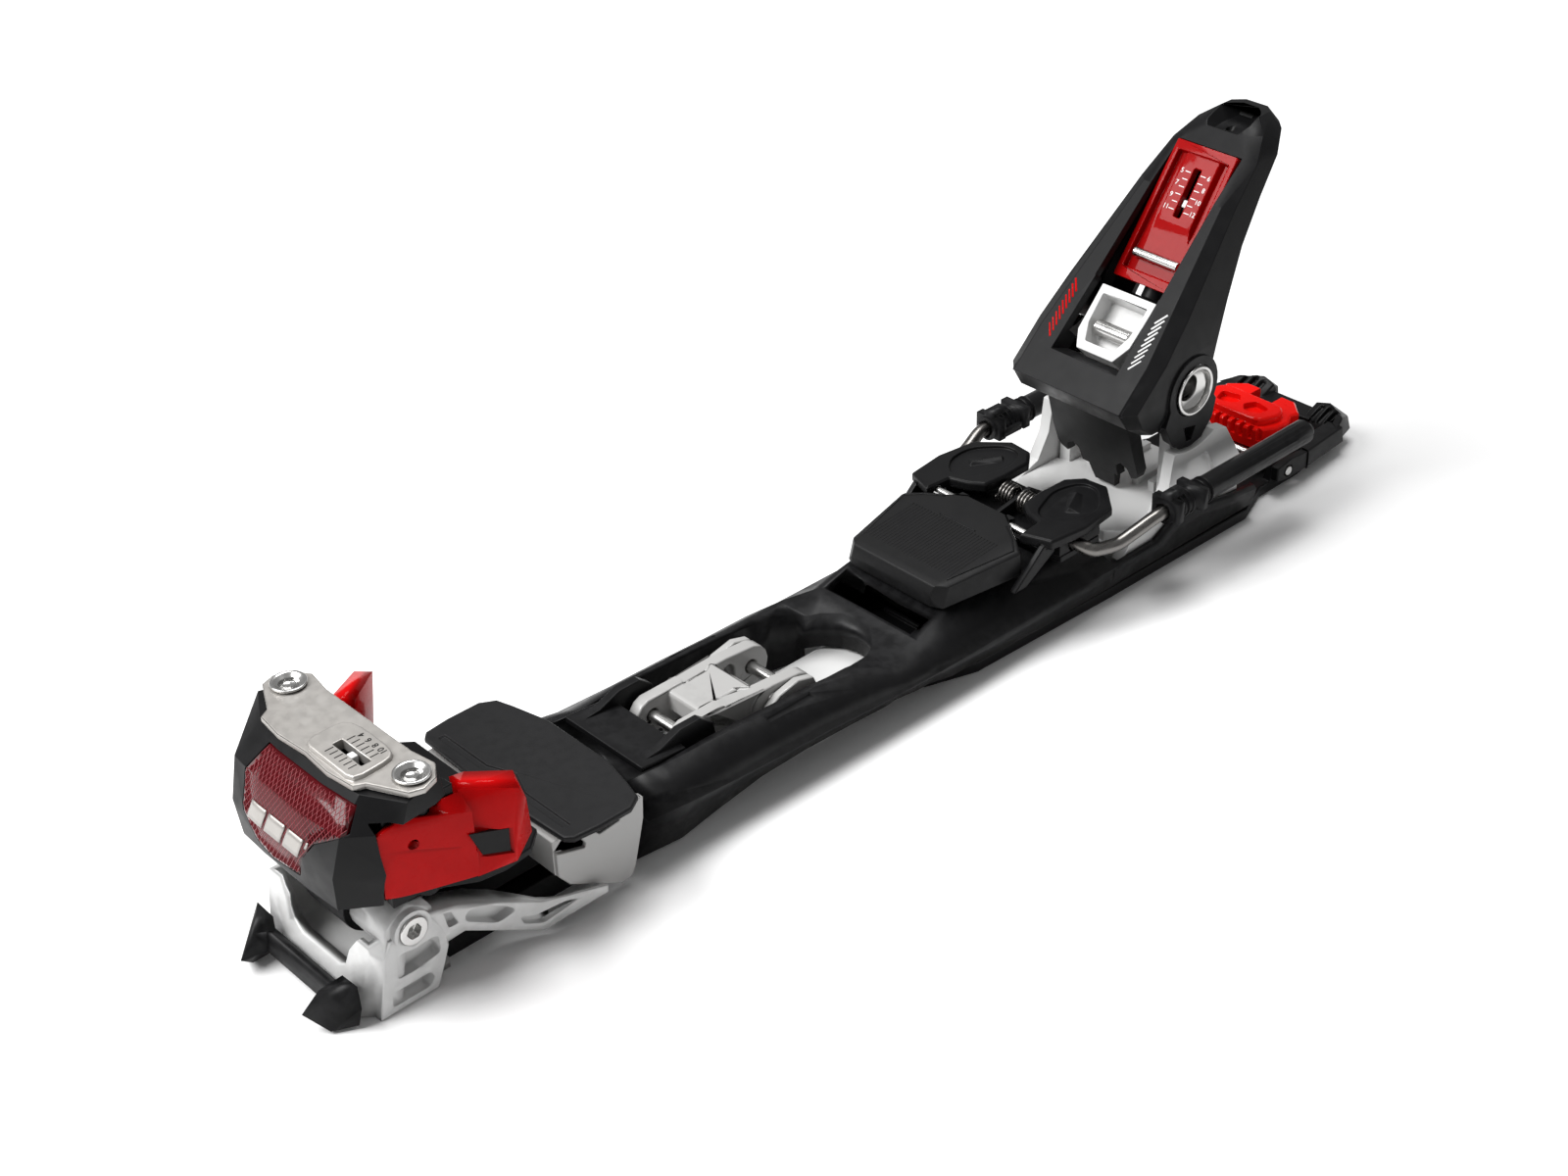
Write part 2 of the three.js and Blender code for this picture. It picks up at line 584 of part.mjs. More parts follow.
// Each station: x, then (y, z) of the rim, valley and shoulder, then the half width at the bottom.
const FRAME_STATIONS = [
  [FRAME_X, [21.5, 29], [29, 26], [36, 22.6], 27],
  [107.5, [21.8, 27.5], [29, 23.7], [35.2, 19.6], 29],
  [127, [23.8, 28], [29.6, 23.6], [35, 17.8], 26],
  [149, [24.5, 27], [30, 23], [35.8, 17.3], 23.2],
  [170, [24.5, 26], [30, 22.3], [36, 16.6], 22.8],
  [191.5, [26.5, 24], [31.5, 20.8], [36.5, 15.4], 23.6],
  [208, [30, 20.6], [33.2, 17.8], [36.7, 14.9], 24.6],
  [223, [25, 21.8], [31, 17.2], [36.9, 14.6], 27],
  [238, [24, 27.3], [29, 17], [36.9, 14.6], 31],
  [300, [24, 27.3], [29, 16], [36.2, 14.6], 34.5],
  [319, [24, 27.3], [29, 16], [36.4, 14.8], 35],
];
// The heel's track behind it: x, height of the side flanges.
const TRACK_STATIONS = [[317, 14.8], [342, 15], [353, 20.8], [363, 20.8], [386, 16.4], [FRAME_END_X, 14.6]];
const TRACK_X = 319.2;
const TRACK_HALF = 33.5;
const TRACK_FLOOR = 8.2;

function mainFrame() {
  const section = (x, half) => {
    const left = half.map(([y, z]) => [x, y, z]);
    return [...left, ...left.map(([, y, z]) => [x, -y, z]).reverse()];
  };
  const body = loft(
    FRAME_STATIONS.map(([x, rim, valley, shoulder, bottom]) =>
      section(x, [[bottom, 1], shoulder, valley, rim]),
    ),
  );
  const track = loft(
    TRACK_STATIONS.map(([x, top]) => section(x, [[35.2, BASE_TOP_Z], [36.6, top - 1.4], [35.4, top]])),
  );
  const oval = [[99, 20.6], [182, 21.3], [194, 20.6], [204, 18.2], [212, 13.6], [217, 7.5], [218.4, 2]];
  const screwEye = rod([395, 0, 12], [410, 0, 12], 2.4, 16);
  const stop = box(400.4, FRAME_END_X, -12, 12, TRACK_FLOOR - 1, 16);
  const room = [
    prism("z", bothSides(oval), -1, 60), // the opening under the boot's arch
    box(FRAME_X - 1, 230, -17.5, 17.5, -1, 6.5), // over the centre strip
    box(207.5, 420, -60, 60, -1, BASE_TOP_Z + 1), // over the rear base
    box(224, 298, -20.5, 20.5, 0, 24), // hollow under the deck
    box(TRACK_X, 420, -TRACK_HALF, TRACK_HALF, TRACK_FLOOR, 60),
  ];
  const slots = pair(box(150, 171, 24, 27, 24.6, 30));
  return cut(join(cut(join(body, track), ...room), stop), screwEye, slots);
}

// ---------------------------------------------------------------- mode lever

function leverBracket() {
  const ear = [
    [98, 10], [98, 28.6], [110, 30], [119, 33.4], [128, 33.4], [133.4, 29], [134.6, 22], [131, 14], [120, 10],
  ];
  const cover = hull([
    [99.6, -20.2, 26.2], [99.6, 20.2, 26.2], [99.6, -20.2, 29.6], [99.6, 20.2, 29.6], [119.2, -20.2, 25],
    [119.2, 20.2, 25], [118.6, -20.2, 28], [118.6, 20.2, 28],
  ]);
  const wall = box(99.6, 103, -20.2, 20.2, 10, 28);
  const pinBore = across(LEVER_X, LEVER_Z, -30, 30, 2.6, 16);
  const ears = pair(prism("y", ear, 14, 17.5).subtract(box(90, 99.6, -60, 60, 0, 60)));
  return cut(join(cover, wall, ears), pinBore);
}

// A capsule-shaped cheek between two centres, in side view.
function cheek(x0, z0, x1, z1, radius, low, high) {
  const rims = [circle(x0, z0, radius, 14), circle(x1, z1, radius, 14)].flat();
  return hull(rims.flatMap(([x, z]) => [[x, low, z], [x, high, z]]));
}

function modeLever() {
  const front = cheek(LEVER_X, LEVER_Z, 140, LEVER_Z, 7.2, 7.5, 12.5);
  const rear = cheek(161, 19.6, LINK_X, LINK_Z, 8.2, 9, 14.4);
  const neck = hull([
    [136, 7.5, 15.5], [136, 12.5, 15.5], [136, 7.5, 28.6], [136, 12.5, 28.6], [162, 9, 12], [162, 14.4, 12],
    [162, 9, 27.6], [162, 14.4, 27.6],
  ]);
  const webPlan = [[134.6, 8.6], [139, 11.6], [144, 8.2], [152, 8.2], [157, 11.4]];
  const web = prism("z", bothSides(webPlan), 20, 28.4, 1);
  const holes = [across(LEVER_X, LEVER_Z, -30, 30, 2.6, 16), across(LINK_X, LINK_Z, -30, 30, 2.6, 16)];
  const slot = cheek(163.5, 15.8, 163.5, 21.6, 2.6, -30, 30);
  return cut(join(web, pair(join(front, neck, rear))), ...holes, slot);
}

const leverPin = (x, z, half) => across(x, z, -half, half, 2.2, 16);

// Two dark cheeks outside the lever's prongs, joined by a bar through their slots.
function modeLink() {
  const side = [
    [156, 13.5], [158, 21.5], [163, 25], [172, 27], [179, 25], [181.8, 18.5], [178, 12.4], [166, 11],
  ];
  const bar = across(163.5, 18.7, -17, 17, 1.7, 12);
  const bore = across(LINK_X, LINK_Z, -30, 30, 2.6, 16);
  return cut(join(bar, pair(prism("y", side, 14.8, 18, 0.3))), bore);
}

// ---------------------------------------------------------------- brake

const PAD_X = 283; // brake pad pivot
const PAD_Z = 38.6;

function brakePad() {
  const corner = (x, y, z) => [[x, y, z], [x, -y, z]];
  const lid = hull([
    ...corner(234.6, 20, 28.4), ...corner(236.6, 24, 28.4), ...corner(234.4, 20, 33),
    ...corner(236.2, 20.4, 36.8),
    ...corner(239, 20, 37.8), ...corner(239.4, 24.2, 36.4), ...corner(271, 30.2, 39),
    ...corner(271, 28.6, 40.2), ...corner(273, 29.6, 29), ...corner(276, 22.4, 29),
    ...corner(276.4, 22.4, 40.8), ...corner(285, 9.5, 41), ...corner(285, 9.5, 33),
  ]);
  const hollow = hull([
    ...corner(240, 20.6, 20), ...corner(241.6, 20.6, 33), ...corner(270, 26, 20), ...corner(270, 26, 35),
    ...corner(275, 20, 20), ...corner(275, 20, 35.6),
  ]);
  const ears = pair(box(276, 286.4, 9.5, 13.5, 33.4, 40.6));
  const bore = across(PAD_X, PAD_Z, -30, 30, 1.9, 16);
  return cut(join(cut(lid, hollow), ears), bore);
}

// One side's cover over the brake's spring and arm, with a strap down to the frame.
function brakeHousing() {
  const roof = [
    [277.4, 23.4], [281.6, 35.6], [298, 37.6], [315, 35.4], [325.4, 24], [324.4, 14], [318, 8.8], [304, 8.4],
    [294.6, 9.6], [290.6, 15.4], [288.4, 22.4],
  ];
  const top = prism("z", roof, 37.6, 42, 0.8);
  const eye = [[293, 17.4], [290.6, 24.6], [299, 32.4], [311, 32.6], [321.6, 23], [320.4, 15], [309, 11.6]];
  const lens = rounded(eye, 5, 3);
  const dished = cut(top, prism("z", lens, 40.9, 44));
  const ridge = hull([
    [300, 24, 40], [312, 15.6, 40], [317, 21, 40], [305, 30, 40], [303, 24.4, 42.2], [314, 19, 42.2],
  ]);
  const body = prism("z", [[289, 24.4], [289, 33.2], [311, 33.2], [314.6, 24.4]], 30.8, 38);
  const strap = prism("y", [[264.5, 26], [271, 26], [286, 35], [286, 39.5], [280, 39.5]], 30.9, 33.4, 0.3);
  const armBore = across(BRAKE_X, BRAKE_Z, 20, 40, WIRE_R + 0.4, 16);
  const pinBore = across(PAD_X, PAD_Z, 0, 26.6, 1.9, 16);
  return cut(join(dished, ridge, body, strap), armBore, pinBore);
}

// The plate that carries the brake on the frame's deck, with a rib between its two springs.
function brakeBase() {
  const plate = prism("z", bothSides([[288.4, 23.8], [290, 33], [311, 33], [318.4, 23]]), 27.7, 30.4);
  const rib = prism("y", [[289, 30], [291, 35.5], [309, 38.4], [317, 33], [317, 30]], -1, 1);
  return join(plate, rib);
}

const padPin = () => across(PAD_X, PAD_Z, -26, 26, 1.5, 12);

function brakeWire() {
  const route = [
    [BRAKE_X, 25.5, BRAKE_Z], [BRAKE_X, 34, BRAKE_Z], [300.5, 39.6, 31.8], [311, 41.6, 30.4],
    [321, 43.4, 33.2], [329.5, ARM_Y, 36], [340, ARM_Y, 36], [399, ARM_Y, 36],
  ];
  return bentRod(route, WIRE_R, 20, 8);
}

function brakeSleeve() {
  const tube = rod([333, ARM_Y, 36], [418, ARM_Y, 36], 4.9, 16);
  const tip = rod([412, ARM_Y, 36], [421, ARM_Y, 35.4], 4.9, 16, 3);
  const collars = [334, 348].map((x) => box(x, x + 3.6, ARM_Y - 6.4, ARM_Y + 6.2, 32.4, 41));
  const tabs = [box(334, 342, ARM_Y - 2, ARM_Y + 2, 38, 43.4), box(336, 346, ARM_Y - 7, ARM_Y, 33.4, 36.4)];
  const blade = hull([
    [360, 42, 34], [360, 49, 38], [374, 39, 30.5], [374, 50.4, 39], [412, 39.4, 31], [420, 48, 36],
    [404, 50.4, 38.6], [416, 42, 33],
  ]);
  const bore = rod([325, ARM_Y, 36], [402, ARM_Y, 36], WIRE_R + 0.35, 16);
  return cut(join(tube, tip, ...collars, ...tabs, blade), bore);
}

const brakeSpring = () => spring([303, 2, 35.8], [303, 8.2, 35.8], 3.9, 0.62, 4);

// ---------------------------------------------------------------- heel

const CHEEK_IN = 27.8;
const CHEEK_OUT = 32;
const BASE_SIDE = 33;

function heelBase() {
  const slab = prism("z", bothSides([[324, 24], [330, 32.8], [394, 32.8]]), TRACK_FLOOR + GAP, 16);
  const deckPlan = [[327, 22], [333, 28], [356.6, 28], [358, 21.8], [391, 21.8]];
  const deck = prism("z", bothSides(deckPlan), 15, 20.4, 0.4);
  const sideOutline = [
    [325, 12], [329, 18], [345, 23.5], [351, 34], [353, 47], [372, 50], [384, 47], [394, 31], [394, 12],
  ];
  const around = across(HEEL_X, HEEL_Z, -60, 60, 25, 40);
  const sidePlate = cut(prism("y", sideOutline, 28, BASE_SIDE), around);
  const towerOutline = [
    [357, 14], [357.4, 58], [359, 76], [368, 78.5], [374.5, 72], [376, 56], [394, 30], [394, 14],
  ];
  const tower = prism("y", towerOutline, 22, 27.2);
  const recess = prism("y", [[358, 20], [362, 40], [373, 41], [384, 22]], BASE_SIDE - 2.6, BASE_SIDE + 1);
  const axleBore = across(HEEL_X, HEEL_Z, -40, 40, 6.4, 20);
  const screwRoom = rod([320, 0, 12], [400, 0, 12], 3.5, 16);
  const ribs = pair(join(box(362, 388, 6, 9, 20, 23), box(362, 388, 14, 17, 20, 24.6)));
  const sides = pair(join(sidePlate, tower, box(360, 394, 27, 29, 14, 26)));
  return cut(join(slab, deck, ribs, cut(sides, pair(recess))), axleBore, screwRoom);
}

function heelTrackScrew() {
  const shank = rod([326, 0, 12], [401, 0, 12], 2.2, 10);
  const starts = [330, 341, 352, 363, 374, 385];
  const threads = starts.map((x) => rod([x, 0, 12], [x + 6, 0, 12], 2.2, 10, 3));
  const head = rod([402.4, 0, 12], [404.8, 0, 12], 4, 16);
  const neck = rod([400, 0, 12], [403, 0, 12], 2.2, 12);
  const slot = box(404, 408, -4.5, 4.5, 11.4, 12.6);
  return cut(join(shank, ...threads, neck, head), slot);
}

function heelAxle() {
  const shaft = across(HEEL_X, HEEL_Z, -29, 29, 6, 20);
  const end = cut(
    across(HEEL_X, HEEL_Z, 28.1, CHEEK_OUT + 1.2, 10, 28),
    across(HEEL_X, HEEL_Z, 29.6, CHEEK_OUT + 5, 8.3, 28),
  );
  return join(shaft, pair(end));
}

// Plan sections of the lever's shell: height, front x, back x, half width, length of the cut corner.
const SHELL_SECTIONS = [
  [58, 341, 377, 29, 3],
  [64, 332, 378, 30.5, 4],
  [72, 327, 378.5, 31, 5],
  [86, 342, 382, 31, 5],
  [100, 356.4, 389, 29, 5],
  [117, 374, 399.5, 25.6, 4.5],
  [132, 389.6, 412, 22.6, 4],
  [144, 404, 424, 20, 4],
  [151, 411.5, 432.6, 15.4, 5],
  [155.6, 418, 432, 9, 4],
];

// A sloping plane across the binding: a point level with height z on it, `depth` mm behind it.
const FRONT_FACE = { x: 327, z: 72, slope: 1.041, normal: [-0.693, 0, 0.721] };
const INSERT_FACE = { x: 370, z: 101, slope: 0.744, normal: [-0.802, 0, 0.597] };
const onPlane = (plane, y, z, depth = 0) => [
  plane.x + (z - plane.z) * plane.slope - plane.normal[0] * depth,
  y,
  z - plane.normal[2] * depth,
];
const onFace = (y, z, depth) => onPlane(FRONT_FACE, y, z, depth);
const onInsert = (y, z, depth) => onPlane(INSERT_FACE, y, z, depth);

// Body between matching points on a sloping plane, `out` mm proud of them and `deep` mm behind them.
function through(plane, points, out, deep) {
  const moved = (p, by) => p.map((v, i) => v + plane.normal[i] * by);
  return hull(points.flatMap((p) => [moved(p, out), moved(p, -deep)]));
}
const throughFace = (points, out, deep) => through(FRONT_FACE, points, out, deep);
const throughInsert = (points, out, deep) => through(INSERT_FACE, points, out, deep);

function shellLoft(inset, floor) {
  const rings = SHELL_SECTIONS.slice(0, inset ? 8 : undefined).map(([z, front, back, half, corner]) => {
    const [f, b, h] = [front + inset * 1.35, back - inset, half - inset];
    const c = Math.max(corner - inset * 0.5, 1);
    const side = [[f, h - c], [f + c, h], [b - c, h], [b, h - c]];
    return bothSides(side).map(([x, y]) => [x, y, z === 58 ? floor : z]);
  });
  return loft(rings);
}

function heelShell() {
  const boss = across(HEEL_X, HEEL_Z, CHEEK_IN, CHEEK_OUT, 14, 28);
  const finOutline = [
    [348, 60], [352, 52], [357, 47.6], [364, 46.6], [370, 48], [376, 55], [377.6, 62], [372, 70], [352, 70],
  ];
  const fin = prism("y", finOutline, CHEEK_IN, CHEEK_OUT);
  const finGap = [[359, 56], [366, 54.6], [364, 49.4], [361, 49.6]];
  const finWindow = prism("y", finGap, CHEEK_IN - 1, CHEEK_OUT + 1);
  const skirt = loft(
    [[60, 340, 345.6, 21], [44, 344.6, 349.4, 21.4], [30, 349.6, 354, 21.2]].map(([z, front, back, half]) => [
      [front, half - 1, z], [back, half, z], [back, -half, z], [front, -half + 1, z],
    ]),
  );
  const notch = [[8.6, 20], [9.4, 35.6], [12, 38], [15, 36], [16, 31.6], [19, 33], [24, 43], [24, 20]];
  const tongue = hull([
    [348, 8.4, 37], [352.4, 8.4, 37], [348, -8.4, 37], [352.4, -8.4, 37], [353, 5, 22], [356, 5, 22],
    [353, -5, 22], [356, -5, 22],
  ]);
  const cavity = shellLoft(3.6, 57.8).intersect(box(300, 420, -CHEEK_IN, CHEEK_IN, 40, 143));
  const chin = throughFace([onFace(-27, 72), onFace(27, 72), onFace(26, 88), onFace(-26, 88)], -0.6, 9);
  const funnel = hull([
    ...[onFace(-16.4, 80.4, -2), onFace(16.4, 80.4, -2), onFace(15.4, 113, -2), onFace(-15.4, 113, -2)],
    ...[onFace(-14.6, 84, 7.6), onFace(14.6, 84, 7.6), onFace(13.6, 111, 7.6), onFace(-13.6, 111, 7.6)],
  ]);
  const throat = [onFace(-14.8, 84), onFace(14.8, 84), onFace(13.6, 111), onFace(-13.6, 111)];
  const mouth = join(funnel, throughFace(throat, -5, 16));
  const seatRim = [onInsert(-15.6, 98), onInsert(15.6, 98), onInsert(14.6, 146.4), onInsert(-14.6, 146.4)];
  const insertSeat = throughInsert(seatRim, 16, 4.4);
  const roomRim = [onInsert(-12, 98), onInsert(12, 98), onInsert(10, 142), onInsert(-10, 142)];
  const insertRoom = join(
    throughInsert(roomRim, 2, 9),
    rod(onInsert(0, 96, 8.6), onInsert(0, 136, 8.6), 4.7, 16),
  );
  const rearWindow = hull([
    [372, -14, 88], [396, -14, 88], [372, 14, 88], [396, 14, 88],
    [384, -12, 101], [404, -12, 101], [384, 12, 101], [404, 12, 101],
  ]);
  const axleBore = across(HEEL_X, HEEL_Z, -60, 60, 10.4, 28);
  const outer = join(shellLoft(0, 58), pair(cut(join(boss, fin), finWindow)));
  const screwHole = join(
    rod(onInsert(0, 131, 8.6), onInsert(0, 153.4, 8.6), 3.2, 16),
    rod(onInsert(0, 131, 8.6), onInsert(0, 172, 8.6), 1.7, 12),
  );
  const dish = hull([
    [409, -9.6, 153], [409, 9.6, 153], [413, -13, 158], [413, 13, 158], [426, -10.4, 160], [426, 10.4, 160],
    [431.4, -4, 160], [431.4, 4, 160], [413, -5.4, 149.4], [413, 5.4, 149.4], [419, -5.8, 149.8],
    [419, 5.8, 149.8], [425.4, -3, 151.8], [425.4, 3, 151.8],
  ]);
  const towerRoom = join(
    box(355.5, 385, -CHEEK_IN, CHEEK_IN, 40, 78),
    across(HEEL_X, HEEL_Z, -CHEEK_IN, CHEEK_IN, 13, 28),
  );
  const walls = join(cut(outer, cavity), chin);
  const shell = cut(walls, mouth, insertSeat, insertRoom, rearWindow, axleBore, screwHole, towerRoom, dish);
  return join(shell, cut(skirt, pair(prism("x", notch, 330, 360))), tongue);
}

function heelInsert() {
  const rim = (y0, z0, y1, z1) => [onInsert(-y0, z0), onInsert(y0, z0), onInsert(y1, z1), onInsert(-y1, z1)];
  const plate = throughInsert(rim(15.2, 101, 14.2, 146), 0, 3.9);
  const tub = throughInsert(rim(12.6, 104.4, 11.8, 143), 3, 2.7);
  const slope = hull([
    ...[onInsert(-8.8, 117, 2.8), onInsert(8.8, 117, 2.8), onInsert(-8, 121, 0.3), onInsert(8, 121, 0.3)],
    ...[onInsert(-7.6, 144, 0.3), onInsert(7.6, 144, 0.3), onInsert(-8.8, 144, 2.8), onInsert(8.8, 144, 2.8)],
  ]);
  const slit = throughInsert(rim(1.6, 123.4, 1.6, 139), 3, 6);
  return cut(join(cut(plate, tub), slope), slit);
}

const heelRollPin = () => rod(onInsert(-10.6, 109.6, 0.6), onInsert(10.6, 109.6, 0.6), 1.9, 16);

// The white cup that rides over the cam, seen through the lever's mouth.
function heelCam() {
  const rim = (y0, z0, y1, z1) => [
    onFace(-y0 * 0.7, z0), onFace(y0 * 0.7, z0), onFace(y0, z0 + 5), onFace(y1, z1), onFace(-y1, z1),
    onFace(-y0, z0 + 5),
  ];
  const cup = throughFace(rim(12.6, 84.6, 13.2, 103), -3.8, 14.4);
  const pocket = throughFace(rim(9.8, 87.2, 10.6, 100.6), 5, 12.4);
  return cut(cup, pocket);
}

const heelRoller = () => rod(onFace(-8.2, 92.4, 8.4), onFace(8.2, 92.4, 8.4), 3.2, 18);
const heelPiston = () => rod(onInsert(0, 98, 8.6), onInsert(0, 105.4, 8.6), 4.2, 14);
const heelSpring = () => spring(onInsert(0, 107, 8.6), onInsert(0, 122.2, 8.6), 3.4, 0.75, 6);

function heelIndicator() {
  const nut = rod(onInsert(0, 126.2, 8.6), onInsert(0, 130.4, 8.6), 3.7, 14);
  const corners = [onInsert(-1.2, 127), onInsert(1.2, 127), onInsert(1.2, 129.4), onInsert(-1.2, 129.4)];
  return join(nut, throughInsert(corners, -2, 7));
}

function heelSettingScrew() {
  const screw = rod(onInsert(0, 136.4, 8.6), onInsert(0, 153, 8.6), 2.8, 14);
  const socket = rod(onInsert(0, 150, 8.6), onInsert(0, 156, 8.6), 1.5, 6);
  return cut(screw, socket);
}

// ---------------------------------------------------------------- climbing aids

const HIGH_PIVOT = [427.5, 9.2];
const LOW_PIVOT = [453.5, 11.4];

function climbHigh() {
  const side = [[420.6, 6.4], [420.6, 12.6], [428, 14], [440, 13], [440, 5.4], [427, 5.4]];
  const arm = prism("y", side, 29.5, 33.2);
  const blade = hull([
    [437, 24.4, 5.4], [437, 33.2, 5.4], [437, 33.2, 13], [437, 24.4, 12.6], [466, 22.8, 5.4], [468, 31, 5.4],
    [468, 30, 12], [466, 23, 12],
  ]);
  const hook = hull([
    [463, 14, 5.6], [463, 30.6, 5.4], [464, 30, 12], [469, 11, 11], [475, 11, 13.4], [476, 17, 15],
    [TAIL_X, 12, 10], [TAIL_X, 24, 9.6], [478, 27, 5.6], [478, 10, 5.6], [471, 27, 13.6],
  ]);
  const groove = [[466, 9.4], [474, 12.2], [474.4, 18], [462, 18]];
  const scoop = [14.4, 18.2, 22].map((y) => prism("y", groove, y, y + 2));
  const bar = box(466, 476, -14, 14, 5.4, 10);
  const bore = across(...HIGH_PIVOT, -40, 40, 2.35, 16);
  return cut(join(bar, pair(join(arm, blade, cut(hook, ...scoop)))), bore);
}

function climbLow() {
  const plan = [[427.6, 9], [429, 16], [436, 19.6], [443, 20.2], [448, 17.8], [452, 18.8], [458.4, 12]];
  const plate = prism("z", bothSides(plan), 10, 20.4, 0.8);
  const kidneyPlan = rounded([[431, 14], [441, 17.8], [447, 14.5], [447, -14.5], [441, -17.8], [431, -14]], 3);
  const kidney = prism("z", kidneyPlan, 19, 23.6, 0.8);
  const teeth = [-16, -12, -8, -4, 0, 4, 8, 12, 16].map((y) => box(420, 430.6, y - 1, y + 1, 15.4, 30));
  const postRoom = box(447.6, 470, -5.5, 5.5, 0, 40);
  const heelRoom = prism("y", [[456, 5], [466, 5], [466, 15], [461, 11.2]], -30, 30);
  const pocket = rounded([[434, 10], [441, 12], [443, 4], [438, 1], [434, 4]], 1.6);
  const pockets = pair(prism("z", pocket, 21.2, 30));
  const bore = across(...LOW_PIVOT, -30, 30, 1.85, 16);
  const overPin = across(...HIGH_PIVOT, -40, 40, 2.6, 16);
  return cut(join(plate, kidney), ...teeth, postRoom, heelRoom, pockets, bore, overPin);
}

// ---------------------------------------------------------------- assembly

add("toe_pivot_base", "white", toePivotBase());
addPair("pivot_pin", "steel", pivotPin());
add("front_spur", "black", frontSpur());
add("base_track", "black", baseTrack());
add("centre_strip", "white", centreStrip());
add("rear_base", "black", rearBase());
addPair("front_base_screw", "steel", baseScrew(6, 14, 4.2));
addPair("rear_base_screw", "steel", baseScrew(408, 12, BASE_TOP_Z));
add("climb_high_pin", "steel", across(...HIGH_PIVOT, -33.6, 33.6, 2, 16));
add("climb_low_pin", "steel", across(...LOW_PIVOT, -15, 15, 1.5, 16));

add("pivot_hub", "black", pivotHub());

add("toe_frame", "black", toeFrame());
add("afd_bracket", "white", afdBracket());
add("afd_plate", "rubber", afdPlate());
add("toe_housing", "black", toeHousing());
add("toe_top_plate", "silver", toeTopPlate());
addPair("toe_rivet", "steel", toeRivet());
add("toe_window", "clearRed", toeWindow());
add("toe_spring", "wire", toeSpring());
add("toe_setting_screw", "steel", toeSettingScrew());
add("toe_indicator", "white", toeIndicator());
addPair("wing_arm", "black", wingArm());
addPair("wing", "red", wing());

add("main_frame", "black", mainFrame());
add("lever_bracket", "black", leverBracket());
add("lever_pin_front", "steel", leverPin(LEVER_X, LEVER_Z, 18.4));
add("mode_lever", "white", modeLever());
add("lever_pin_rear", "steel", leverPin(LINK_X, LINK_Z, 18.6));
add("mode_link", "black", modeLink());

add("brake_base", "black", brakeBase());
addPair("brake_housing", "black", brakeHousing());
addPair("brake_spring", "wire", brakeSpring());
add("brake_pad_pin", "steel", padPin());
add("brake_pad", "black", brakePad());
addPair("brake_wire", "wire", brakeWire());
addPair("brake_sleeve", "black", brakeSleeve());

add("heel_base", "white", heelBase());
add("heel_axle", "steel", heelAxle());
add("heel_track_screw", "steel", heelTrackScrew());
add("heel_shell", "black", heelShell());
add("heel_insert", "red", heelInsert());
add("heel_roll_pin", "steel", heelRollPin());
add("heel_cam", "white", heelCam());
add("heel_roller", "steel", heelRoller());
add("heel_piston", "black", heelPiston());
add("heel_spring", "wire", heelSpring());
add("heel_indicator", "white", heelIndicator());
add("heel_setting_screw", "steel", heelSettingScrew());

add("climb_low", "red", climbLow());
add("climb_high", "black", climbHigh());

// The origin is the middle of the footprint, on the ski.
const extent = new THREE.Box3().setFromObject(binding);
binding.position.set(-(extent.min.x + extent.max.x) / 2, -(extent.min.y + extent.max.y) / 2, -extent.min.z);

export default binding;
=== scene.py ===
"""Looks of the touring binding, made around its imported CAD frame.

Lengths are given in millimetres from the front axle, as in the CAD source, and `at` turns them into the
frame's metres.
"""

import json
import math

import bmesh
import bpy
from mathutils import Matrix, Vector
from mathutils.bvhtree import BVHTree


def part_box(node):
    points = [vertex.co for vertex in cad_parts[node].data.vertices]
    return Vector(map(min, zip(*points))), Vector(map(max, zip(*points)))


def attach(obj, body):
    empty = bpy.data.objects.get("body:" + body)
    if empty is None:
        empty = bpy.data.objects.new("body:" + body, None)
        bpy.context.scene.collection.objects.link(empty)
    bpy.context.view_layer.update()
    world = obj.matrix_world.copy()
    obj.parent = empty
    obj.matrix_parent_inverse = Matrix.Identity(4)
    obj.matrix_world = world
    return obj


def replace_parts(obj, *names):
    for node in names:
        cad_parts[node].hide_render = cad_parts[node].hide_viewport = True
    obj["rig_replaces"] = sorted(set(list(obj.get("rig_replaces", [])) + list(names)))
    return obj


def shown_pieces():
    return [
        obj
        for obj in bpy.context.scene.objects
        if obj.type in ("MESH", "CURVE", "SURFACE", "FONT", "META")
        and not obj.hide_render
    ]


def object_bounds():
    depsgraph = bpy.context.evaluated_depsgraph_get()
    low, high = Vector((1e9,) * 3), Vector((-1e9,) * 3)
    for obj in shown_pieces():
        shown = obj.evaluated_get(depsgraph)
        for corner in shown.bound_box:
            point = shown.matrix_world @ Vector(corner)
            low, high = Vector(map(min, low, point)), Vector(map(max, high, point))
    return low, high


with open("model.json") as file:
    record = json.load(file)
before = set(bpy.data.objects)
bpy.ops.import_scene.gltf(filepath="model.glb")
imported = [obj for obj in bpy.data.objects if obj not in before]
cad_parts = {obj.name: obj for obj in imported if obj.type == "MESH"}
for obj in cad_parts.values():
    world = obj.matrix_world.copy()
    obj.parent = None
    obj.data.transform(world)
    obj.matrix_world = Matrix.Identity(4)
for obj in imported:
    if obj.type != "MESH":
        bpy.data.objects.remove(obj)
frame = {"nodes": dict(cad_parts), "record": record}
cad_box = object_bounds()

MM = 0.001
CAMERA_ANGLES = (-41.8426, 33.1909, -1.967)  # azimuth, elevation and roll in degrees
CAMERA_PLACE = (-290.644, -528.628, 515.934)
CAMERA_LENS = 56.31
WORLD_LIGHT = 0.3
LIGHT_TARGET = (0, 0, 0.04)
FLOOR_SIZE = 6
FLOOR_GAP = 0.2
NODES = frame["nodes"]
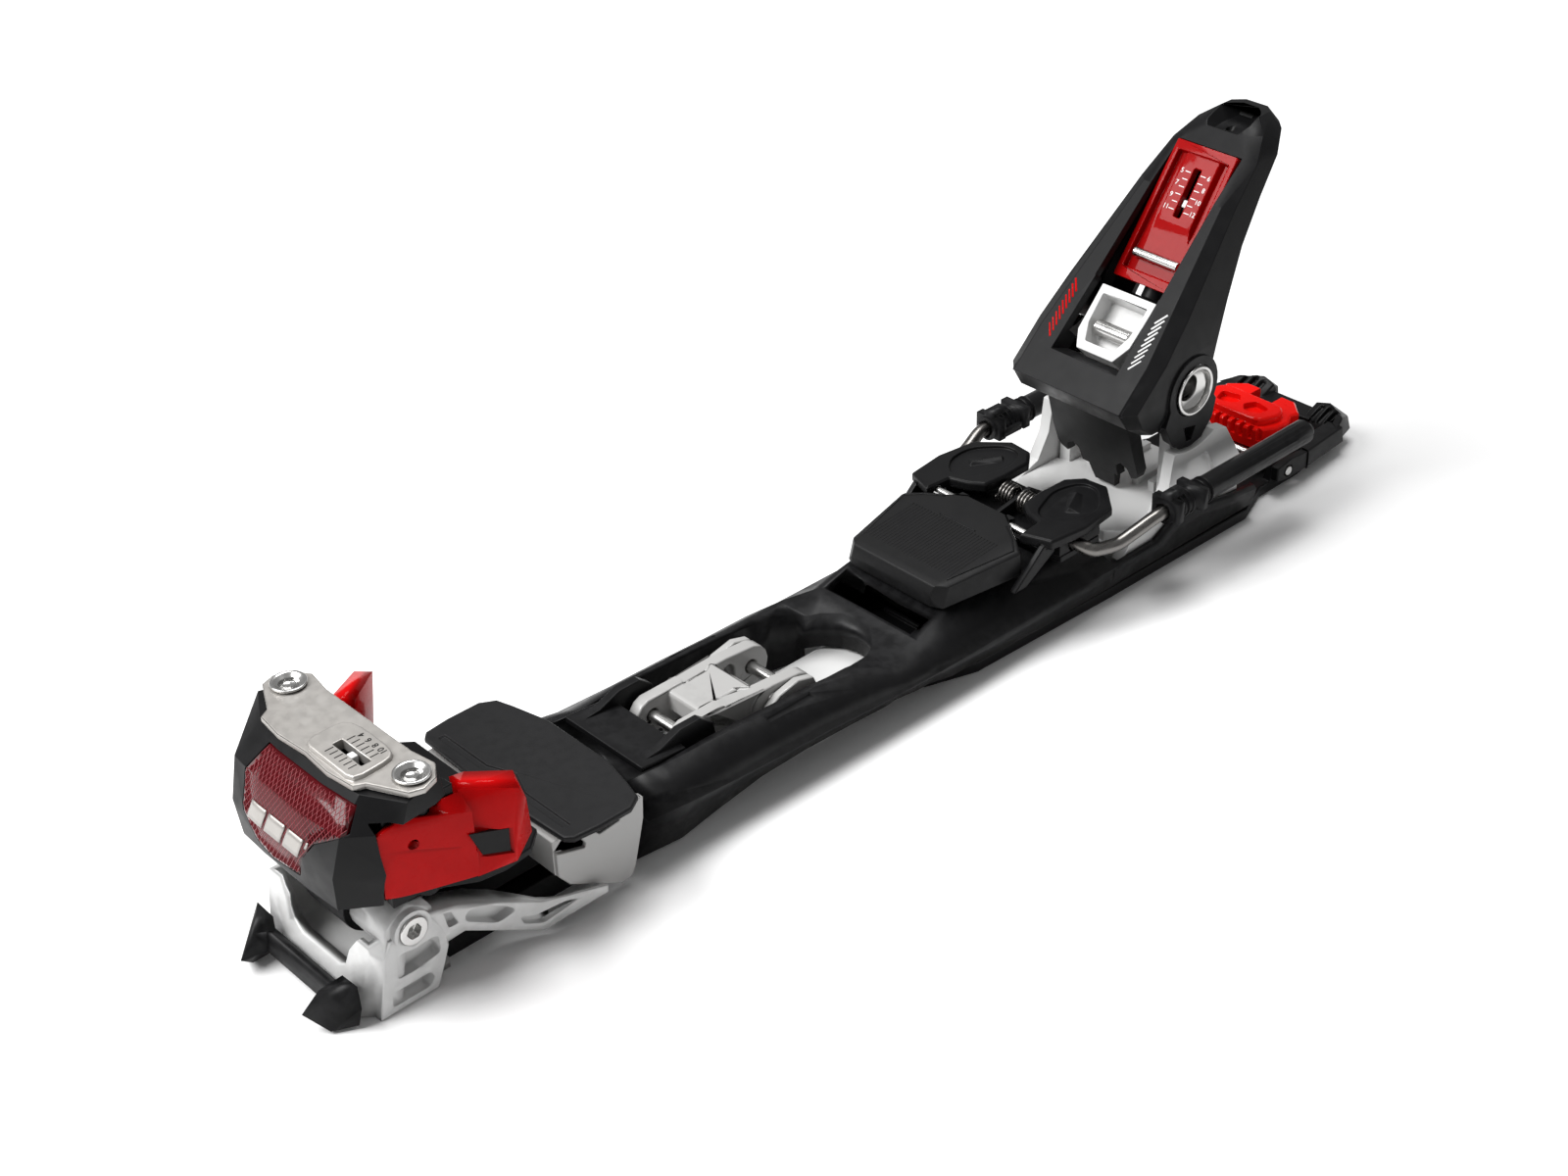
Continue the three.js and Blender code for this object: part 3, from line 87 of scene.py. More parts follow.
BODY_OF = {node: body for body, nodes in frame["record"]["behaviour"]["bodies"].items() for node in nodes}
SLOT_OF = {part["node"]: part["material_slot"] for part in frame["record"]["subparts"]}
PIN_LOW, PIN_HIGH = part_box("pivot_pin_left")
AXLE_X = (PIN_LOW.x + PIN_HIGH.x) / 2


def at(x, y, z):
    return Vector((AXLE_X + x * MM, y * MM, z * MM))


# ---------------------------------------------------------------- camera, light and floor


def make_camera():
    azimuth, elevation, roll = (math.radians(angle) for angle in CAMERA_ANGLES)
    level = math.cos(elevation)
    back = Vector((math.sin(azimuth) * level, -math.cos(azimuth) * level, math.sin(elevation)))
    right = Vector((0, 0, 1)).cross(back).normalized()
    up = back.cross(right)
    across = math.cos(roll) * right + math.sin(roll) * up
    upward = math.cos(roll) * up - math.sin(roll) * right
    camera = bpy.data.objects.new("camera", bpy.data.cameras.new("camera"))
    bpy.context.scene.collection.objects.link(camera)
    camera.matrix_world = Matrix((across, upward, back)).transposed().to_4x4()
    camera.location = at(*CAMERA_PLACE)
    camera.data.sensor_width = 36
    camera.data.lens = CAMERA_LENS
    camera.data.clip_start = 0.01
    bpy.context.scene.camera = camera


def soft_box(name, place, size, power):
    light = bpy.data.lights.new(name, "AREA")
    light.shape = "RECTANGLE"
    light.size, light.size_y = size
    light.energy = power
    lamp = bpy.data.objects.new(name, light)
    bpy.context.scene.collection.objects.link(lamp)
    lamp.location = place
    lamp.rotation_mode = "QUATERNION"
    lamp.rotation_quaternion = (Vector(LIGHT_TARGET) - Vector(place)).to_track_quat("-Z", "Y")


def make_light():
    world = bpy.data.worlds.new("studio")
    world.use_nodes = True
    background = world.node_tree.nodes["Background"]
    background.inputs["Color"].default_value = (1, 1, 1, 1)
    background.inputs["Strength"].default_value = WORLD_LIGHT
    bpy.context.scene.world = world
    bpy.context.scene.view_settings.view_transform = "Standard"
    soft_box("key", (-1.05, 0.55, 1.3), (1.0, 0.9), 40)
    soft_box("top", (0.3, 0.35, 1.6), (0.9, 0.7), 18)


# ---------------------------------------------------------------- materials


class Shader:
    """A procedural material. Its patterns are in the object's own coordinates, which ride with the piece."""

    def __init__(self, name, color, **sockets):
        self.name = name
        self.material = bpy.data.materials.new(name)
        self.material.use_nodes = True
        self.material.diffuse_color = (*color, 1)
        self.nodes = self.material.node_tree.nodes
        self.surface = self.nodes["Principled BSDF"]
        self.color = color
        self.place = self.nodes.new("ShaderNodeTexCoord").outputs["Object"]
        self.normal = None
        self.surface.inputs["Base Color"].default_value = (*color, 1)
        for socket, value in sockets.items():
            self.surface.inputs[socket.replace("_", " ")].default_value = value

    def link(self, source, target):
        self.material.node_tree.links.new(source, target)

    def stretched(self, scale):
        mapping = self.nodes.new("ShaderNodeMapping")
        mapping.inputs["Scale"].default_value = scale
        self.link(self.place, mapping.inputs["Vector"])
        return mapping.outputs["Vector"]

    def noise(self, scale, detail=2.0, stretch=(1, 1, 1)):
        texture = self.nodes.new("ShaderNodeTexNoise")
        texture.inputs["Scale"].default_value = scale
        texture.inputs["Detail"].default_value = detail
        self.link(self.stretched(stretch), texture.inputs["Vector"])
        return texture.outputs[0]

    def waves(self, scale, stretch=(1, 0, 0)):
        texture = self.nodes.new("ShaderNodeTexWave")
        texture.inputs["Scale"].default_value = scale
        self.link(self.stretched(stretch), texture.inputs["Vector"])
        return texture.outputs["Fac"]

    def remapped(self, value, low, high, start=0.3, end=0.7):
        node = self.nodes.new("ShaderNodeMapRange")
        node.interpolation_type = "SMOOTHSTEP"
        for socket, number in (("From Min", start), ("From Max", end), ("To Min", low), ("To Max", high)):
            node.inputs[socket].default_value = number
        self.link(value, node.inputs["Value"])
        return node.outputs["Result"]

    def product(self, first, second):
        node = self.nodes.new("ShaderNodeMath")
        node.operation = "MULTIPLY"
        self.link(first, node.inputs[0])
        self.link(second, node.inputs[1])
        return node.outputs[0]

    def mixed(self, factor, first, second):
        """Mixes two colours, of which the first may be an earlier mix."""
        node = self.nodes.new("ShaderNodeMix")
        node.data_type = "RGBA"
        self.link(factor, node.inputs["Factor"])
        sockets = [socket for socket in node.inputs if socket.type == "RGBA"]
        for socket, color in zip(sockets, (first, second)):
            if isinstance(color, bpy.types.NodeSocket):
                self.link(color, socket)
            else:
                socket.default_value = (*color, 1)
        return [socket for socket in node.outputs if socket.type == "RGBA"][0]

    def paint(self, color):
        self.link(color, self.surface.inputs["Base Color"])

    def roughness(self, value, low, high):
        self.link(self.remapped(value, low, high), self.surface.inputs["Roughness"])

    def bump(self, height, distance, strength=1.0):
        node = self.nodes.new("ShaderNodeBump")
        node.inputs["Distance"].default_value = distance * MM
        node.inputs["Strength"].default_value = strength
        self.link(height, node.inputs["Height"])
        if self.normal is not None:
            self.link(self.normal, node.inputs["Normal"])
        self.normal = node.outputs["Normal"]
        self.link(self.normal, self.surface.inputs["Normal"])

    def worn(self, base, tint, amount=1.0):
        """Rubbed colour where the mesh's `wear` attribute marks an edge, broken up by noise."""
        attribute = self.nodes.new("ShaderNodeAttribute")
        attribute.attribute_name = "wear"
        patches = self.remapped(self.noise(260, 3), 0, amount, 0.35, 0.62)
        return self.mixed(self.product(attribute.outputs["Fac"], patches), base, tint)


def tinted(color, by):
    return tuple(min(channel * by, 1) for channel in color)


def black_plastic(name="black_plastic", color=(0.006, 0.006, 0.0064), rough=0.38):
    shader = Shader(name, color, Specular_IOR_Level=0.13)
    mottled = shader.mixed(shader.noise(45, 3), tinted(color, 0.94), tinted(color, 1.07))
    shader.paint(shader.worn(mottled, (0.02, 0.02, 0.021), 0.35))
    shader.roughness(shader.noise(160, 4), rough - 0.05, rough + 0.05)
    shader.bump(shader.noise(2600, 2), 0.02, 0.25)
    return shader


def white_metal(name="white_metal", color=(0.6, 0.6, 0.595)):
    shader = Shader(name, color, Coat_Weight=0.3, Coat_Roughness=0.15)
    mottled = shader.mixed(shader.noise(60, 3), tinted(color, 0.985), tinted(color, 1.015))
    shader.paint(shader.worn(mottled, tinted(color, 0.77), 0.3))
    shader.roughness(shader.noise(220, 3), 0.28, 0.34)
    shader.bump(shader.noise(900, 2), 0.012, 0.15)
    return shader


def silver_metal():
    color = (0.4, 0.383, 0.362)
    shader = Shader("silver_metal", color, Metallic=0.7)
    blasted = shader.noise(3200, 2)
    mottled = shader.mixed(blasted, tinted(color, 0.94), tinted(color, 1.06))
    shader.paint(shader.worn(mottled, (0.68, 0.67, 0.65)))
    shader.roughness(shader.noise(300, 3), 0.36, 0.44)
    shader.bump(blasted, 0.012, 0.25)
    return shader


def red_lacquer(name="red_lacquer", color=(0.43, 0.0015, 0.002)):
    coat = {"Coat_Weight": 0.3, "Coat_Roughness": 0.03, "Coat_IOR": 1.3}
    shader = Shader(name, color, Specular_IOR_Level=0.02, **coat)
    mottled = shader.mixed(shader.noise(38, 2), tinted(color, 0.86), tinted(color, 1.1))
    shader.paint(shader.worn(mottled, tinted(color, 1.2), 0.3))
    shader.roughness(shader.noise(500, 3), 0.26, 0.34)
    shader.bump(shader.noise(350, 2), 0.012, 0.12)
    return shader


def clear_red():
    color = (0.05, 0.001, 0.0025)
    coat = {"Coat_Weight": 0.4, "Coat_Roughness": 0.04, "Coat_IOR": 1.35}
    shader = Shader("clear_red", color, Specular_IOR_Level=0.1, **coat)
    shader.paint(shader.mixed(shader.noise(90, 2), tinted(color, 0.7), tinted(color, 1.5)))
    shader.roughness(shader.noise(400, 2), 0.12, 0.2)
    shader.bump(shader.noise(500, 1), 0.015, 0.15)
    return shader


def window_line():
    color = (0.2, 0.012, 0.02)
    shader = Shader("window_line", color)
    shader.paint(shader.mixed(shader.noise(120, 2), tinted(color, 0.8), tinted(color, 1.2)))
    shader.roughness(shader.noise(300, 2), 0.3, 0.45)
    return shader


def steel():
    color = (0.6, 0.595, 0.585)
    shader = Shader("steel", color, Metallic=1.0)
    shader.paint(shader.mixed(shader.noise(60, 2), tinted(color, 0.94), tinted(color, 1.05)))
    shader.roughness(shader.noise(90, 2), 0.2, 0.27)
    shader.bump(shader.noise(900, 2), 0.004, 0.15)
    return shader


def spring_steel():
    color = (0.17, 0.163, 0.155)
    shader = Shader("spring_steel", color, Metallic=1.0)
    drawn = shader.noise(700, 3, (0.12, 1, 1))
    shader.paint(shader.mixed(drawn, tinted(color, 0.85), tinted(color, 1.25)))
    shader.roughness(drawn, 0.24, 0.36)
    shader.bump(drawn, 0.01, 0.2)
    return shader


def black_rubber():
    color = (0.0065, 0.0065, 0.007)
    shader = Shader("black_rubber", color, Specular_IOR_Level=0.2)
    mottled = shader.mixed(shader.noise(70, 4), tinted(color, 0.85), tinted(color, 1.3))
    shader.paint(shader.worn(mottled, (0.018, 0.018, 0.019), 0.5))
    shader.roughness(shader.noise(260, 4), 0.42, 0.55)
    shader.bump(shader.noise(1800, 3), 0.03, 0.3)
    return shader


def pad_plastic():
    """The brake pad's plastic, moulded with fine lines along the ski."""
    shader = black_plastic("brake_pad_plastic", (0.008, 0.008, 0.0083), 0.44)
    shader.bump(shader.waves(520, (0, 1, 0)), 0.05, 0.4)
    return shader


SHADERS = (
    black_plastic(),
    white_metal(),
    silver_metal(),
    red_lacquer(),
    clear_red(),
    steel(),
    spring_steel(),
    black_rubber(),
    pad_plastic(),
    window_line(),
    white_metal("grey_metal", (0.36, 0.357, 0.35)),
    # A brighter copy of the red lacquer: painted light on the climbing aid, which lies in shade under the
    # lever
    red_lacquer("red_lacquer_painted_lit", (0.75, 0.006, 0.004)),
    red_lacquer("deep_red", (0.25, 0.001, 0.0013)),
)
MATERIALS = {shader.name: shader.material for shader in SHADERS}

# ---------------------------------------------------------------- mesh helpers


def new_piece(name, mesh, body, slot, stands_for=(), material=None):
    """Puts a finished mesh in the scene as a piece that rides on a body."""
    piece = bpy.data.objects.new(name, mesh)
    bpy.context.scene.collection.objects.link(piece)
    mesh.materials.clear()
    mesh.materials.append(MATERIALS[material or slot])
    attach(piece, body)
    if stands_for:
        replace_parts(piece, *stands_for)
    return piece


def mesh_from(name, bm, smooth=True):
    bmesh.ops.recalc_face_normals(bm, faces=bm.faces)
    mesh = bpy.data.meshes.new(name)
    bm.to_mesh(mesh)
    bm.free()
    mesh.shade_smooth() if smooth else mesh.shade_flat()
    return mesh


def evaluated(mesh, add_modifiers):
    """A copy of the mesh with modifiers applied."""
    carrier = bpy.data.objects.new("carrier", mesh)
    bpy.context.scene.collection.objects.link(carrier)
    add_modifiers(carrier)
    graph = bpy.context.evaluated_depsgraph_get()
    result = bpy.data.meshes.new_from_object(carrier.evaluated_get(graph))
    bpy.data.objects.remove(carrier)
    return result


def clean_copy(node, merge=0.03, flat=1.2):
    """The CAD node's surface as a new mesh: welded, with the triangles of each flat face joined."""
    source = NODES[node].data
    plain = bpy.data.meshes.new(node)
    points = [vertex.co[:] for vertex in source.vertices]
    plain.from_pydata(points, [], [polygon.vertices[:] for polygon in source.polygons])
    bm = bmesh.new()
    bm.from_mesh(plain)
    bmesh.ops.remove_doubles(bm, verts=bm.verts, dist=merge * MM)
    bmesh.ops.dissolve_degenerate(bm, dist=merge * MM, edges=bm.edges)
    bmesh.ops.dissolve_limit(bm, angle_limit=math.radians(flat), verts=bm.verts, edges=bm.edges)
    return mesh_from(node, bm, smooth=False)


def mark_wear(mesh, start=0.35, end=0.75):
    """Writes the `wear` attribute: 1 on outer edges and 0 on flats and in hollows."""
    bm = bmesh.new()
    bm.from_mesh(mesh)
    bm.normal_update()
    wear = [0.0] * len(bm.verts)
    for edge in bm.edges:
        if len(edge.link_faces) != 2 or not edge.is_convex:
            continue
        turn = edge.calc_face_angle(0)
        share = min(max((turn - start) / (end - start), 0), 1)
        for vertex in edge.verts:
            wear[vertex.index] = max(wear[vertex.index], share)
    bm.free()
    attribute = mesh.attributes.new("wear", "FLOAT", "POINT")
    attribute.data.foreach_set("value", wear)


def surface_of(node):
    mesh = NODES[node].data
    return BVHTree.FromPolygons([v.co[:] for v in mesh.vertices], [p.vertices[:] for p in mesh.polygons])


def follows_surface(mesh, tree, most):
    return all((tree.find_nearest(vertex.co)[3] or 0) < most * MM for vertex in mesh.vertices)


def refined(node, width=0.5, material=None, sharp=32):
    """Stands for a CAD node: the same shape, with rounded edges and smooth curved faces."""
    base = clean_copy(node)
    tree = surface_of(node)
    for share in (1, 0.5, 0.25, 0):

        def modifiers(carrier):
            if share:
                bevel = carrier.modifiers.new("edges", "BEVEL")
                bevel.width = width * share * MM
                bevel.segments = 3 if width > 0.3 else 2
                bevel.limit_method = "ANGLE"
                bevel.angle_limit = math.radians(sharp)
                bevel.use_clamp_overlap = False
                bevel.miter_outer = "MITER_ARC"
            for polygon in carrier.data.polygons:
                polygon.use_smooth = True
            carrier.modifiers.new("normals", "WEIGHTED_NORMAL")

        mesh = evaluated(base, modifiers)
        if follows_surface(mesh, tree, width * share * 0.9 + 0.08):
            break
    mark_wear(mesh)
    return new_piece(f"{node}_finished", mesh, BODY_OF[node], SLOT_OF[node], [node], material)


def ring_offsets(across, other, radius, sides):
    """The corners of a polygon about the origin, in the plane of two unit directions."""
    turns = [2 * math.pi * k / sides for k in range(sides)]
    return [(across * math.cos(turn) + other * math.sin(turn)) * radius * MM for turn in turns]


def add_tube(bm, points, radius, sides):
    """Adds a round bar along the points, with flat ends."""
    across = None
    rings = []
    for i, point in enumerate(points):
        ahead = points[min(i + 1, len(points) - 1)] - points[max(i - 1, 0)]
        ahead.normalize()
        if across is None:
            across = ahead.orthogonal().normalized()
        across = (across - ahead * across.dot(ahead)).normalized()
        other = ahead.cross(across)
        rings.append([bm.verts.new(point + offset) for offset in ring_offsets(across, other, radius, sides)])
    for near, far in zip(rings, rings[1:]):
        for k in range(sides):
            following = (k + 1) % sides
            bm.faces.new((near[k], near[following], far[following], far[k]))
    bm.faces.new(rings[0])
    bm.faces.new(rings[-1])


def tube(name, points, radius, body, slot, sides=20, stands_for=()):
    bm = bmesh.new()
    add_tube(bm, points, radius, sides)
    return new_piece(name, mesh_from(name, bm), body, slot, stands_for)


def line_work(name, runs, radius, body, slot, sides=6, material=None):
    """Many fine raised lines as one piece."""
    bm = bmesh.new()
    for run in runs:
        add_tube(bm, run, radius, sides)
    return new_piece(name, mesh_from(name, bm), body, slot, material=material)


def turned(name, start, axis, profile, body, slot, stands_for=(), sides=72):
    """A lathe-turned piece: `profile` holds (distance along the axis, radius), and ends on the axis."""
    bm = bmesh.new()
    axis = Vector(axis).normalized()
    across = axis.orthogonal().normalized()
    other = axis.cross(across)
    rings = []
    for along, radius in profile:
        centre = start + axis * along * MM
        if radius == 0:
            rings.append([bm.verts.new(centre)])
            continue
        rings.append([bm.verts.new(centre + offset) for offset in ring_offsets(across, other, radius, sides)])
    for near, far in zip(rings, rings[1:]):
        for k in range(sides):
            following = (k + 1) % sides
            corners = [near[k % len(near)], near[following % len(near)]]
            corners += [far[following % len(far)], far[k % len(far)]]
            bm.faces.new(list(dict.fromkeys(corners)))

    def modifiers(carrier):
        carrier.modifiers.new("normals", "WEIGHTED_NORMAL")

    mesh = evaluated(mesh_from(name, bm), modifiers)
    mark_wear(mesh)
    return new_piece(name, mesh, body, slot, stands_for)


def rounded_corner(along, radius, size, start, end, steps=3):
    """Profile points of a small arc about (along, radius), from one angle to another, in degrees."""
    angles = [math.radians(start + (end - start) * i / steps) for i in range(steps + 1)]
    return [(along + size * math.cos(angle), radius + size * math.sin(angle)) for angle in angles]


def hull_piece(name, points, body, slot, width=0.3, stands_for=(), material=None):
    """A small convex piece with softened edges."""
    bm = bmesh.new()
    for point in points:
        bm.verts.new(point)
    result = bmesh.ops.convex_hull(bm, input=bm.verts)
    spare = result["geom_interior"] + result["geom_unused"]
    spare = [element for element in spare if isinstance(element, bmesh.types.BMVert)]
    bmesh.ops.delete(bm, geom=spare, context="VERTS")
    bmesh.ops.dissolve_limit(bm, angle_limit=math.radians(2), verts=bm.verts, edges=bm.edges)

    def modifiers(carrier):
        bevel = carrier.modifiers.new("edges", "BEVEL")
        bevel.width = width * MM
        bevel.segments = 3
        bevel.limit_method = "ANGLE"
        bevel.angle_limit = math.radians(25)
        carrier.modifiers.new("normals", "WEIGHTED_NORMAL")

    mesh = evaluated(mesh_from(name, bm), modifiers)
    mark_wear(mesh)
    return new_piece(name, mesh, body, slot, stands_for, material)


# ---------------------------------------------------------------- turned pieces

LEFT_AND_RIGHT = (("left", 1), ("right", -1))
RIVET_X, RIVET_Y, RIVET_Z = 6.5, 32.2, 37
HEEL_AXLE_X, HEEL_AXLE_Z = 363.7, 70.4
BRAKE_Y, BRAKE_Z = 45, 36
WIRE_RADIUS = 2.65
SLEEVE_RADIUS = 5.0
ABOVE_PAD = 60


def make_rivets():
    """The wing pivots' bright heads, each with a turned dish."""
    for side, sign in LEFT_AND_RIGHT:
        profile = [(6, 0), (6, 2.2), (47.3, 2.2), (47.3, 5.6)]
        profile += rounded_corner(47.9, 5.4, 0.5, 90, 0)
        profile += [(48.35, 4.9), (48.1, 4.5), (47.1, 3.1), (46.9, 2.6), (46.6, 2.3), (46.6, 0)]
        foot = at(RIVET_X, sign * RIVET_Y, RIVET_Z)
        turned(f"toe_rivet_{side}_turned", foot, (0, 0, 1), profile, "frame", "steel", [f"toe_rivet_{side}"])


def make_heel_axle():
    """The hollow axle: a plain shaft with a dished ring at each end."""
    middle = [(-28.4, 6), (28.4, 6)]

    def end(sign):
        ring = [(28.4, 9.7), *rounded_corner(32.6, 9.45, 0.5, 90, 0), (33.1, 8.9), (32.8, 8.55), (31, 8.3),
                (29.9, 8.1), (29.2, 5.4), (28.8, 5.1), (17, 4.9), (16, 4.2), (16, 0)]
        return [(sign * along, radius) for along, radius in ring]

    profile = end(-1)[::-1] + middle + end(1)
    middle_place = at(HEEL_AXLE_X, 0, HEEL_AXLE_Z)
    turned("heel_axle_turned", middle_place, (0, 1, 0), profile, BODY_OF["heel_axle"], "steel", ["heel_axle"])


# ---------------------------------------------------------------- wires and springs


def catmull_rom(points, tension, steps):
    """Points on the smooth curve through `points`."""
    path = [points[0] * 2 - points[1], *points, points[-1] * 2 - points[-2]]
    found = []
    for before, start, end, after in zip(path, path[1:], path[2:], path[3:]):
        out, into = (end - before) * tension, (after - start) * tension
        for i in range(steps):
            t = i / steps
            found.append(
                start * (2 * t**3 - 3 * t**2 + 1) + out * (t**3 - 2 * t**2 + t)
                + end * (3 * t**2 - 2 * t**3) + into * (t**3 - t**2)
            )
    return [*found, points[-1]]


def make_brake_wires():
    route = [(297, 25.5, 33.6), (297, 34, 33.6), (300.5, 39.6, 31.8), (311, 41.6, 30.4), (321, 43.4, 33.2),
             (329.5, BRAKE_Y, BRAKE_Z), (340, BRAKE_Y, BRAKE_Z), (399, BRAKE_Y, BRAKE_Z)]
    for side, sign in LEFT_AND_RIGHT:
        points = [at(x, sign * y, z) for x, y, z in route]
        path = catmull_rom(points, tension=0.35, steps=12)
        tube(f"brake_wire_{side}_bent", path, WIRE_RADIUS, "brake_arms", "spring_steel",
             stands_for=[f"brake_wire_{side}"])


def coil(start, end, radius, turns, steps=26):
    along = end - start
    side = Vector((0, 0, 1)).cross(along)
    if side.length < 1e-9:
        side = Vector((1, 0, 0))
    side.normalize()
    other = along.cross(side).normalized()
    count = round(turns * steps)
    angles = [2 * math.pi * turns * i / count for i in range(count + 1)]
    return [
        start + along * (i / count) + (side * math.cos(angle) + other * math.sin(angle)) * radius * MM
        for i, angle in enumerate(angles)
    ]


def make_springs():
    for side, sign in LEFT_AND_RIGHT:
        points = coil(at(303, sign * 2, 35.8), at(303, sign * 8.2, 35.8), 3.9, 4)
        tube(f"brake_spring_{side}_coil", points, 0.6, "frame", "spring_steel", 10, [f"brake_spring_{side}"])
    points = coil(at(-1, -13.5, 62), at(-1, 13.5, 62), 6, 6)
    tube("toe_spring_coil", points, 1.05, "frame", "spring_steel", 12, ["toe_spring"])


# ---------------------------------------------------------------- small detailed pieces


def cast_runs(tree, lines, direction, accepts, lift):
    """Where each line of points meets a surface along `direction`, split into unbroken runs.

    Only places whose face normal `accepts` approves count, and each is moved back by `lift`.
    """
    runs = []
    for points in lines:
        run = []
        for point in points:
            hit, normal, _, _ = tree.ray_cast(point, Vector(direction))
            if hit is not None and accepts(normal):
                run.append(hit - Vector(direction) * lift * MM)
                continue
            runs.append(run)
            run = []
        runs.append(run)
    return [run for run in runs if len(run) > 2]


def make_wing_insets():
    """The black panel let into each red wing."""
    window = [(18.5, 59.0), (31.8, 55.0), (31.6, 46.4), (22.4, 49.4)]
    for side, sign in LEFT_AND_RIGHT:
        points = [at(x, sign * y, z) for x, z in window for y in (39.22, 39.4 + (x - 18) * 0.13)]
        hull_piece(f"wing_inset_{side}", points, f"wing_{side}", "black_plastic", 0.3)


def make_window_mesh():
    """The diamond mesh that shows in the toe's red window, as fine raised lines."""
    low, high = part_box("toe_window")
    steps, spacing, slope, start = 90, 2.5, 1.35, 0.02
    lines = []
    for lean in (slope, -slope):
        for k in range(-30, 31):
            ys = [low.y + (high.y - low.y) * i / steps for i in range(steps + 1)]
            offset = (low.z + high.z) / 2 + k * spacing * MM
            lines.append([Vector((low.x - start, y, offset + lean * y)) for y in ys])
    runs = cast_runs(surface_of("toe_window"), lines, (1, 0, 0), lambda normal: normal.x < -0.3, -0.02)
    line_work("toe_window_mesh", runs, 0.13, "frame", "clear_red", 5, "window_line")


def make_pad_ribs():
    """Fine grip ribs over the brake pad's top."""
    lines = [[at(243 + i * 0.9, y * 1.5, ABOVE_PAD) for i in range(29)] for y in range(-14, 15)]
    runs = cast_runs(surface_of("brake_pad"), lines, (0, 0, -1), lambda normal: normal.z > 0.9, -0.1)
    line_work("brake_pad_ribs", runs, 0.24, "brake_pad", "black_plastic", 6, "brake_pad_plastic")


def make_band():
    """A plain silver band across the toe's window, in four slanted blocks."""
    tree = surface_of("toe_window")
    for block, (y0, y1) in enumerate(((17.5, 9.5), (8, -0.5), (-2, -10), (-11.5, -18.5))):
        bm = bmesh.new()
        rows = []
        for z, shift in ((57.2, 0), (59.5, -0.9), (62, -1.9), (64.4, -2.9)):
            row = []
            for i in range(9):
                y = y0 + (y1 - y0) * i / 8 + shift
                hit = tree.ray_cast(at(-60, y, z), Vector((1, 0, 0)))[0]
                if hit is not None:
                    row.append(bm.verts.new(hit - Vector((0.22 * MM, 0, 0))))
            rows.append(row)
        for lower, upper in zip(rows, rows[1:]):
            for a, b, c, d in zip(lower, lower[1:], upper[1:], upper):
                bm.faces.new((a, b, c, d))

        def thickened(carrier):
            layer = carrier.modifiers.new("layer", "SOLIDIFY")
            layer.thickness = 0.4 * MM
            layer.offset = 0

        mesh = evaluated(mesh_from("toe_band", bm), thickened)
        new_piece(f"toe_band_{block}", mesh, "frame", "silver_metal")


def raised_figures(name, figures, height, body, slot):
    """Small raised digits: `figures` holds (digits, place of the middle, right, up)."""
    bm = bmesh.new()
    for digits, place, right, up in figures:
        curve = bpy.data.curves.new(name, "FONT")
        curve.body = digits
        curve.size = height * 1.35 * MM
        curve.extrude = 0.05 * MM
        curve.align_x = "CENTER"
        curve.align_y = "CENTER"
        curve.resolution_u = 3
        carrier = bpy.data.objects.new(name, curve)
        bpy.context.scene.collection.objects.link(carrier)
        graph = bpy.context.evaluated_depsgraph_get()
        mesh = bpy.data.meshes.new_from_object(carrier.evaluated_get(graph))
        bpy.data.objects.remove(carrier)
        bpy.data.curves.remove(curve)
        right, up = Vector(right).normalized(), Vector(up).normalized()
        turn = Matrix((right, up, right.cross(up))).transposed().to_4x4()
        mesh.transform(Matrix.Translation(place) @ turn)
        bm.from_mesh(mesh)
        bpy.data.meshes.remove(mesh)
    return new_piece(name, mesh_from(name, bm, smooth=False), body, slot)


def bar(bm, centre, along, across, up, size):
    """Adds a small box: half sizes along each of three directions."""
    a, b, c = (Vector(v).normalized() * half * MM for v, half in zip((along, across, up), size))
    signs = [(i, j, k) for i in (-1, 1) for j in (-1, 1) for k in (-1, 1)]
    corners = [bm.verts.new(centre + a * i + b * j + c * k) for i, j, k in signs]
    for face in ((0, 1, 3, 2), (4, 6, 7, 5), (0, 4, 5, 1), (2, 3, 7, 6), (0, 2, 6, 4), (1, 5, 7, 3)):
        bm.faces.new([corners[i] for i in face])


def ticks(name, centres, along, across, up, size, body, slot):
    bm = bmesh.new()
    for centre in centres:
        bar(bm, centre, along, across, up, size)
    return new_piece(name, mesh_from(name, bm, smooth=False), body, slot)


def make_toe_scale():
    """The dial marks beside the toe's setting slit."""
    top = 85.62
    places = [-6.5 - 2.4 * i for i in range(6)]
    centres = [at(x, y, top) for y in places for x in (-4.6, 3.1)]
    sides = ((1, 0, 0), (0, 1, 0), (0, 0, 1))
    ticks("toe_scale_marks", centres, *sides, (1.5, 0.16, 0.07), "frame", "black_plastic")
    figures = [
        (str(4 + 2 * i), at(6.2, -7.5 - 3.6 * i, top + 0.03), (0, 1, 0), (-1, 0, 0)) for i in range(4)
    ]
    raised_figures("toe_scale_figures", figures, 2.3, "frame", "black_plastic")


FACE_NORMAL = Vector((-0.693, 0, 0.721))


def on_face(y, z, out):
    """A place over the heel lever's sloping front, `out` from it."""
    return at(327 + (z - 72) * 1.041, y, z) + FACE_NORMAL * out * MM


